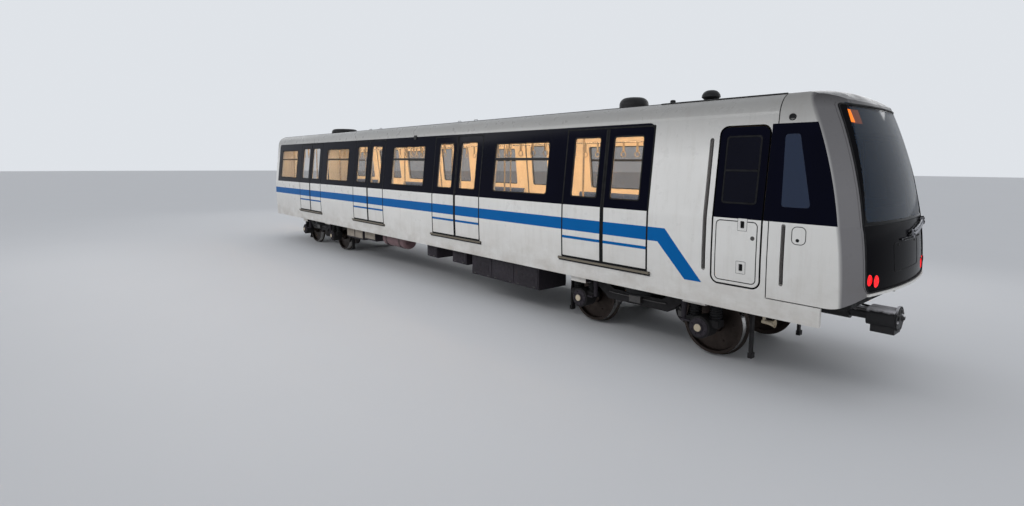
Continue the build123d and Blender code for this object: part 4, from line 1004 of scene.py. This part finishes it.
def roof_vent(vents, x, y):
    """A round vent with sloping slats that run along the car."""
    mid = Vector(on_roof(x, y, -0.016))
    up = (mid - Vector((x, 0, ROOF_CZ))).normalized()
    across = (Vector((0, 1, 0)) - up * up.y).normalized()
    vents.lathe(mid, up, [(0, VENT_R - 0.002), (0.018, VENT_R - 0.002), (0.018, VENT_R - 0.014),
        (0.004, VENT_R - 0.016), (0.004, 0.0)], 40)
    for k in range(-5, 6):
        half = math.sqrt((VENT_R - 0.014) ** 2 - (k * SLAT_PITCH) ** 2)
        a = mid + across * (k * SLAT_PITCH) + up * 0.01
        vents.loft([[a + Vector((end, 0, 0)) + across * v + up * w for v, w in SLAT]
            for end in (-half, half)], flip=True)


vents, covers = Build(), Build()
for cover_x in COVER_XS:
    for dx in (-0.76, 0.76):
        for y in (-0.26, 0.26):
            roof_vent(vents, cover_x + dx, y)
    for k in range(14):
        for y in (-0.5, 0.5):
            a = on_roof(cover_x + COVER_LENGTH * (k / 13 - 0.5), y, 0.0115)
            covers.lathe(a, (0, y * 0.12, 1), [(0, 0.013), (0.004, 0.012), (0.005, 0.0)], 10)
    for dx in (-0.3, 0.3):
        for y in (-0.36, 0.36):
            a, b, z = cover_x + dx - 0.05, cover_x + dx + 0.05, on_roof(cover_x, y, 0.014)[2]
            covers.tube([(a, y, z - 0.004), (a, y, z + 0.03), (b, y, z + 0.03), (b, y, z - 0.004)], 0.006, 8)
vents.obj("roof_vents", "black_plastic")
covers.obj("roof_cover_fittings", "steel")
# columns: x from the foremost door's centre, radius at the foot
DOMES = [(-0.52, 0.24), (0.225, 0.042), (0.87, 0.092), (-11.8, 0.4)]
DOME_Z = CROWN_Z - 0.006
feet = Build()
for dx, r in DOMES:
    feet.lathe((D1 + dx, 0, DOME_Z), (0, 0, 1),
        [(-0.004, r + 0.028), (0.01, r + 0.028), (0.014, r + 0.02), (0.014, r + 0.001),
        (-0.004, r + 0.001)], 48)
    for t in turns(12):
        feet.lathe((D1 + dx + (r + 0.016) * math.cos(t), (r + 0.016) * math.sin(t), DOME_Z + 0.012),
            (0, 0, 1), [(0, 0.007), (0.005, 0.006), (0.006, 0)], 8)
feet.obj("dome_bases", "steel")

# Underfloor: doors with louvres and catches on the cases; the rearmost cases are pale
PALE_CASES = 2
# columns: x limits from the foremost door's centre, lower edge
CASES = [(-9.07, -8.11, 0.56), (-8.01, -7.42, 0.6), (-5.0, -4.62, 0.56), (-4.04, -3.56, 0.56),
    (-3.37, -1.48, 0.42)]
LOUVRE = ((-1.242, 0), (-1.251, -0.004), (-1.251, 0.004), (-1.242, 0.014))
dark_doors, pale_doors, catches = Build(), Build(), Build()
for row, (x0, x1, z0) in enumerate(CASES):
    case_doors = pale_doors if row < PALE_CASES else dark_doors
    count = max(1, round((x1 - x0) / 0.62))
    width = (x1 - x0) / count
    for k in range(count):
        a, b = D1 + x0 + k * width + 0.025, D1 + x0 + (k + 1) * width - 0.025
        case_doors.box(a, b, -1.234, -1.243, z0 + 0.045, SILL_LOW - 0.04, 0.004)
        if k % 2 == 0:
            for z in [z0 + 0.1 + i * 0.028 for i in range(6)]:
                case_doors.loft([[(x, y, z + dz) for y, dz in LOUVRE] for x in (a + 0.08, b - 0.08)],
                    flip=True)
        for x in (a + 0.05, b - 0.05):
            catches.lathe((x, -1.242, SILL_LOW - 0.075), (0, -1, 0),
                [(0, 0.014), (0.006, 0.014), (0.008, 0.011), (0.008, 0.0)], 14)
            catches.box(x - 0.003, x + 0.003, -1.249, -1.254, SILL_LOW - 0.084, SILL_LOW - 0.066)
        for x in (a + 0.05, b - 0.11):
            catches.lathe((x, -1.2465, z0 + 0.045), (1, 0, 0), [(0, 0.008), (0.06, 0.008)], 10)
dark_doors.mirror().obj("case_doors", "case_paint")
pale_doors.mirror().obj("case_doors_pale", "pale_case")
catches.mirror().obj("case_catches", "steel")

# Light covers on the lifting pads under the skirts
# columns: x limits from the foremost door's centre, lower edge below the floor
PADS = [(-0.66, -0.36, 0.37), (1.33, 1.65, 0.32), (-12.06, -11.76, 0.37), (-10.4, -10.08, 0.32)]
pads = Build()
for x0, x1, low in PADS:
    a, b, z = D1 + x0 - 0.003, D1 + x1 + 0.003, FLOOR - low
    pads.box(a, b, -1.3062, -1.3105, z - 0.003, FLOOR - 0.18, 0.002)
    pads.box(a, b, -1.187, -1.3105, z - 0.0045, z - 0.0003, 0.001)
pads.mirror().obj("lifting_pad_covers", "roof_paint")

# Pipes under the middle of the car with their brackets, and a conduit along each edge
PIPE_X0, PIPE_X1 = REAR_BOGIE + 1.75, FRONT_BOGIE - 1.75
# columns: distance from the car's middle, height, radius
PIPES = [(0.4, 0.935, 0.021), (0.46, 0.945, 0.013), (0.36, 0.94, 0.016), (0.3, 0.948, 0.011)]
BRACKET_Z = 0.912
# columns: distance from the car's middle, from and to, and top
BRACKET = [(0.275, 0.49, BRACKET_Z + 0.006), (0.275, 0.281, SILL_LOW), (0.484, 0.49, SILL_LOW)]
pipes = Build()
for s in (-1, 1):
    for y, z, r in PIPES:
        pipes.tube([(PIPE_X0, s * y, z), (PIPE_X1, s * y, z)], r)
    for k in range(9):
        x = PIPE_X0 + 0.3 + k * (PIPE_X1 - PIPE_X0 - 0.6) / 8
        for y0, y1, top in BRACKET:
            pipes.box(x - 0.015, x + 0.015, s * y0, s * y1, BRACKET_Z, top)
    pipes.tube([(PIPE_X0 + 0.2, s * 1.285, 1.035), (PIPE_X1 - 0.2, s * 1.285, 1.035)], 0.014, 8)
    for k in range(7):
        x = PIPE_X0 + 0.6 + k * (PIPE_X1 - PIPE_X0 - 1.2) / 6
        pipes.box(x - 0.012, x + 0.012, s * 1.24, s * 1.302, 1.02, 1.05, 0.002)
pipes.obj("underfloor_pipes", "steel")

# Straps round the air reservoirs, and the pipe from each one's end
TANK_X, TANK_Y, TANK_Z, STRAP_R = D1 - 7.1, 1.04, 0.745, 0.193
tanks = Build()
for s in (-1, 1):
    for dx in (-6.895, -6.855, -6.275, -6.235):
        loop = [(D1 + dx, s * TANK_Y + STRAP_R * math.cos(t), TANK_Z + STRAP_R * math.sin(t))
            for t in turns(28)]
        tanks.tube(loop + loop[:1], 0.006, 6)
    tanks.lathe((TANK_X, s * TANK_Y, TANK_Z), (-1, 0, 0),
        [(0, 0.04), (0.012, 0.04), (0.018, 0.02), (0.05, 0.018), (0.05, 0.0)], 16)
    route = ((0.02, TANK_Z), (0.07, TANK_Z), (0.1, TANK_Z + 0.03), (0.1, SILL_LOW))
    tanks.tube([(TANK_X - back, s * TANK_Y, z) for back, z in route], 0.012, 8)
tanks.obj("reservoir_fittings", "steel")

# Horn under the cab
HORN_X, HORN_Y, HORN_Z = D1 + 2.27, -1.06, FLOOR - 0.43
horn = Build()
horn.lathe((HORN_X, HORN_Y, HORN_Z), (1, 0, 0),
    [(0, 0.024), (0.05, 0.024), (0.1, 0.03), (0.14, 0.04), (0.155, 0.05), (0.156, 0.046), (0.14, 0.036),
    (0.13, 0.02), (0.13, 0.0)])
horn.box(HORN_X + 0.01, HORN_X + 0.04, HORN_Y - 0.015, HORN_Y + 0.015, HORN_Z + 0.01, SILL_LOW, 0.003)
horn.obj("horn", "cover_beige")


# Bogies; in these functions sx is the axle's end of the bogie and s the side of the car
COILS, COIL_STEPS, COIL_R = 6, 12, 0.076
# columns: from and to along the bogie from its middle, across the car from its middle, and in height
GUARD = [(1.32, 1.59, 0.972, 1.028, 0.8, 0.842), (1.548, 1.59, 0.72, 1.028, 0.8, 0.842),
    (1.552, 1.582, 0.712, 0.79, 0.125, 0.842), (1.545, 1.6, 0.705, 0.797, 0.095, 0.165)]


def coil_springs(springs, x, s):
    """Two coil springs on an axle box, with their lower cups."""
    for spring_x in (x - 0.15, x + 0.15):
        coil = []
        for k in range(COILS * COIL_STEPS + 1):
            t = 2 * math.pi * k / COIL_STEPS
            z = AXLE_Z + 0.125 + 0.185 * k / (COILS * COIL_STEPS)
            coil.append((spring_x + COIL_R * math.cos(t), s + COIL_R * math.sin(t), z))
        springs.tube(coil, 0.011, 6)
        springs.lathe((spring_x, s, AXLE_Z + 0.112), (0, 0, 1),
            [(0, 0.094), (0.012, 0.094), (0.014, 0.088), (0.014, 0.073)])


def axle_box(boxes, discs, x, s):
    """The axle box's round cover with its bolts and pale disc."""
    y = s * 1.16
    boxes.lathe((x, y - s * 0.002, AXLE_Z), (0, s, 0),
        [(0, 0.128), (0.014, 0.128), (0.02, 0.12), (0.02, 0.072), (0.034, 0.066), (0.038, 0.052),
        (0.038, 0.0)], 32)
    discs.lathe((x, y + s * 0.035, AXLE_Z), (0, s, 0),
        [(0, 0.05), (0.006, 0.05), (0.01, 0.044), (0.012, 0.0)], 28)
    for t in turns(8, math.pi / 8):
        boxes.lathe((x + 0.103 * math.cos(t), y + s * 0.017, AXLE_Z + 0.103 * math.sin(t)), (0, s, 0),
            [(0, 0.013), (0.01, 0.013), (0.012, 0.01), (0.012, 0)], 6)


def damper(boxes, x, sx, s):
    """An upright damper beside the springs, with its upper and lower brackets."""
    mid = x - sx * 0.27
    boxes.lathe((mid, s * 1.085, AXLE_Z + 0.06), (0, 0, 1),
        [(0, 0.034), (0.16, 0.034), (0.165, 0.04), (0.3, 0.04), (0.305, 0.012), (0.34, 0.012)], 20)
    boxes.box(mid - 0.03, mid + 0.03, s * 1.035, s * 1.11, AXLE_Z + 0.395, AXLE_Z + 0.41, 0.003)
    boxes.box(mid - 0.03, x - sx * 0.1, s * 1.09, s * 1.145, AXLE_Z + 0.04, AXLE_Z + 0.062, 0.003)


def brake(brakes, x, sx, s):
    """A brake block before the wheel, with its holder, hanger and cylinder."""
    y = s * 0.77
    brakes.box(x - sx * 0.442, x - sx * 0.485, y - 0.038, y + 0.038, AXLE_Z - 0.09, AXLE_Z + 0.12, 0.006)
    brakes.box(x - sx * 0.48, x - sx * 0.54, y - 0.03, y + 0.03, AXLE_Z - 0.03, AXLE_Z + 0.06, 0.006)
    brakes.tube([(x - sx * 0.51, y, AXLE_Z + 0.05), (x - sx * 0.55, y, AXLE_Z + 0.18)], 0.016, 8)
    brakes.lathe((x - sx * 0.57, y - 0.1, AXLE_Z + 0.2), (0, 1, 0),
        [(0, 0.05), (0.012, 0.062), (0.188, 0.062), (0.2, 0.05)], 20)


def lifeguard(guards, cx, sx, s):
    """An arm from the bogie's end that carries a guard down in front of the wheel."""
    for x0, x1, y0, y1, z0, z1 in GUARD:
        guards.box(cx + sx * x0, cx + sx * x1, s * y0, s * y1, z0, z1, 0.004)
    for y in (0.735, 0.765):
        for z in (0.7, 0.75):
            guards.lathe((cx + sx * 1.566, s * y, z), (sx, 0, 0),
                [(0.012, 0.009), (0.024, 0.009), (0.024, 0)], 6)


def bogie_pieces(end, cx):
    """A bogie's springs, axle box covers, dampers, brakes and lifeguards."""
    springs, boxes, discs, brakes, guards = Build(), Build(), Build(), Build(), Build()
    for s in (-1, 1):
        for sx in (-1, 1):
            x = cx + sx * WHEELBASE / 2
            coil_springs(springs, x, s)
            axle_box(boxes, discs, x, s)
            damper(boxes, x, sx, s)
            brake(brakes, x, sx, s)
            lifeguard(guards, cx, sx, s)
        pipe = ((-0.5, 0.655), (-0.4, 0.645), (0.4, 0.645), (0.5, 0.655))
        brakes.tube([(cx + x, s * 1.093, z) for x, z in pipe], 0.01, 8)
        brakes.box(cx - 0.1, cx + 0.1, s * 1.078, s * 1.14, 0.58, 0.69, 0.008)
        springs.lathe((cx, s * 0.96, 0.7), (0, 0, 1),
            [(0, 0.262), (0.02, 0.262), (0.024, 0.251), (0.06, 0.254), (0.1, 0.268), (0.15, 0.272),
            (0.2, 0.264), (0.236, 0.252), (0.24, 0.25)], 36)
    body = f"bogie_{end}"
    springs.obj(f"spring_coils_{end}", "black_plastic", body)
    boxes.obj(f"axle_box_covers_{end}", "case_paint", body)
    discs.obj(f"axle_box_discs_{end}", "cover_beige", body)
    brakes.obj(f"brake_units_{end}", "steel", body)
    guards.obj(f"lifeguards_{end}", "bogie_paint", body)


def wheel_pieces(number, x):
    """The polished treads of one axle's wheels, and bolts on the wheels."""
    tread, bolts = Build(), Build()
    for s in (-1, 1):
        tread.lathe((x, s * 0.718, AXLE_Z), (0, s, 0),
            [(0, WHEEL_R + 0.0032), (0.02, WHEEL_R + 0.0015), (0.09, WHEEL_R - 0.004),
            (0.09, WHEEL_R - 0.008), (0.0, WHEEL_R - 0.004)], 72)
        for t in turns(6):
            bolts.lathe((x + 0.27 * math.cos(t), s * 0.757, AXLE_Z + 0.27 * math.sin(t)), (0, s, 0),
                [(-0.002, 0.017), (0.008, 0.017), (0.01, 0.013), (0.01, 0.0)], 6)
    tread.obj(f"wheel_treads_{number}", "tread", f"wheelset_{number}")
    bolts.obj(f"wheel_bolts_{number}", "wheel_steel", f"wheelset_{number}")


for end, cx in BOGIES.items():
    bogie_pieces(end, cx)
axles = [cx + sx * WHEELBASE / 2 for cx in BOGIES.values() for sx in (1, -1)]
for number, x in enumerate(axles, 1):
    wheel_pieces(number, x)

# Front coupler: bolts and air connections on the head's face, and the hoses beside its shank
HEAD_X = D1 + 3.405
head = Build()
for t in turns(8, math.pi / 8):
    head.lathe((HEAD_X + 0.016, 0.13 * math.cos(t), COUPLER_Z - 0.005 + 0.13 * math.sin(t)), (1, 0, 0),
        [(-0.002, 0.009), (0.008, 0.009), (0.008, 0.0)], 6)
for s in (-1, 1):
    head.lathe((HEAD_X + 0.014, s * 0.05, COUPLER_Z + 0.075), (1, 0, 0),
        [(-0.002, 0.02), (0.01, 0.02), (0.012, 0.017), (0.006, 0.014), (0.006, 0.0)], 16)
    hose = ((2.35, 0.1, 0.9), (2.6, 0.12, 0.91), (2.95, 0.13, 0.86), (3.14, 0.11, 0.84))
    head.tube([(D1 + x, s * y, z) for x, y, z in hose], 0.014)
head.obj("coupler_fittings", "steel")

# Rear end: gangway frame with its bolts, tread plate, steps and lamps
GANG_TOP = FLOOR + 1.96
gangway = Build()
for y0, y1, z0 in ((-0.6, -0.487, FLOOR - 0.05), (0.487, 0.6, FLOOR - 0.05), (-0.6, 0.6, GANG_TOP + 0.012)):
    gangway.box(GANGWAY_X + 0.001, GANGWAY_X + 0.02, y0, y1, z0, GANG_TOP + 0.07, 0.004)
ladder = Build()
for s in (-1, 1):
    for k in range(7):
        gangway.lathe((GANGWAY_X + 0.001, s * 0.575, FLOOR + 0.1 + k * 0.3), (-1, 0, 0),
            [(-0.012, 0.01), (0.0, 0.01), (0.0, 0.0)], 8)
    for z in [FLOOR + 0.05 + k * 0.36 for k in range(5)]:
        step = ((0.002, 1.02), (-0.05, 1.02), (-0.05, 0.8), (0.002, 0.8))
        ladder.tube([(REAR_X + x, s * y, z) for x, y in step], 0.01, 8)
    ladder.lathe((REAR_X, s * 1.12, FLOOR + 1.85), (-1, 0, 0),
        [(-0.002, 0.055), (0.014, 0.055), (0.022, 0.046), (0.024, 0.0)], 28)
plate = Build()
plate.box(GANGWAY_X + 0.01, REAR_X + 0.09, -0.46, 0.46, FLOOR - 0.008, FLOOR + 0.003, 0.002)
gangway.obj("gangway_frame", "steel")
plate.obj("gangway_tread_plate", "steel")
ladder.obj("rear_end_steps", "handle_metal")

# Stage, light and camera
bm = bmesh.new()
bmesh.ops.create_circle(bm, cap_ends=True, radius=160.0, segments=96)
data = bpy.data.meshes.new("stage_floor")
bm.to_mesh(data)
bm.free()
data.materials.append(plain("stage_mat", (0.56, 0.56, 0.57, 1)))
ground = put("stage_floor", data)
ground.location = (0, 0, -0.001)

world = scene.world or bpy.data.worlds.new("world")
scene.world = world
world.use_nodes = True
sky = world.node_tree.nodes["Background"]
sky.inputs["Color"].default_value = (0.74, 0.77, 0.81, 1)
sky.inputs["Strength"].default_value = 1.0


def area(name, place, aim, size, power):
    """A rectangular studio light."""
    lamp = bpy.data.lights.new(name, "AREA")
    lamp.shape = "RECTANGLE"
    lamp.size, lamp.size_y = size
    lamp.energy = power
    obj = put(name, lamp)
    obj.location = place
    obj.rotation_euler = (Vector(aim) - Vector(place)).to_track_quat("-Z", "Y").to_euler()


area("key_right", (-1, -7.6, 5.8), (-2, -1.4, 2.0), (18, 1.5), 240)
area("overhead", (0, 1, 10), (0, 0, 0), (24, 2.5), 40)
area("front_fill", (19, -4, 6), (8, 0, 2), (8, 5), 60)
area("left_fill", (0, 8.6, 5.8), (0, 1.4, 2.0), (20, 1.5), 220)
area("rear_fill", (-19, 2, 6), (-8, 0, 2), (8, 5), 60)

# The photo's width, its middle row, the row of the camera's axis and the focal length, in pixels
WIDTH_PX, MIDDLE_PX, AXIS_PX, FOCAL_PX = 1024, 253, 220.09, 551.404
SENSOR = 36.0
CAM_PLACE = Vector((D1 + 5.216, -(WAIST_Y + 6.272), FLOOR + 1.47))
YAW, PITCH_DOWN, ROLL = (math.radians(v) for v in (41.005, 5.924, -0.353))
ahead = Vector((-math.cos(PITCH_DOWN) * math.cos(YAW), math.cos(PITCH_DOWN) * math.sin(YAW),
    -math.sin(PITCH_DOWN)))
right = Vector((math.sin(YAW), math.cos(YAW), 0))
down = ahead.cross(right)
cam_right = right * math.cos(ROLL) + down * math.sin(ROLL)
cam_down = down * math.cos(ROLL) - right * math.sin(ROLL)
cam = bpy.data.cameras.new("camera")
cam.sensor_width = SENSOR
cam.lens = SENSOR * FOCAL_PX / WIDTH_PX
cam.shift_y = -(MIDDLE_PX - AXIS_PX) / WIDTH_PX
camera = put("camera", cam)
turned = Matrix([[cam_right[i], -cam_down[i], -ahead[i]] for i in range(3)])
camera.matrix_world = Matrix.Translation(CAM_PLACE) @ turned.to_4x4()
scene.camera = camera
scene.view_settings.view_transform = "Standard"
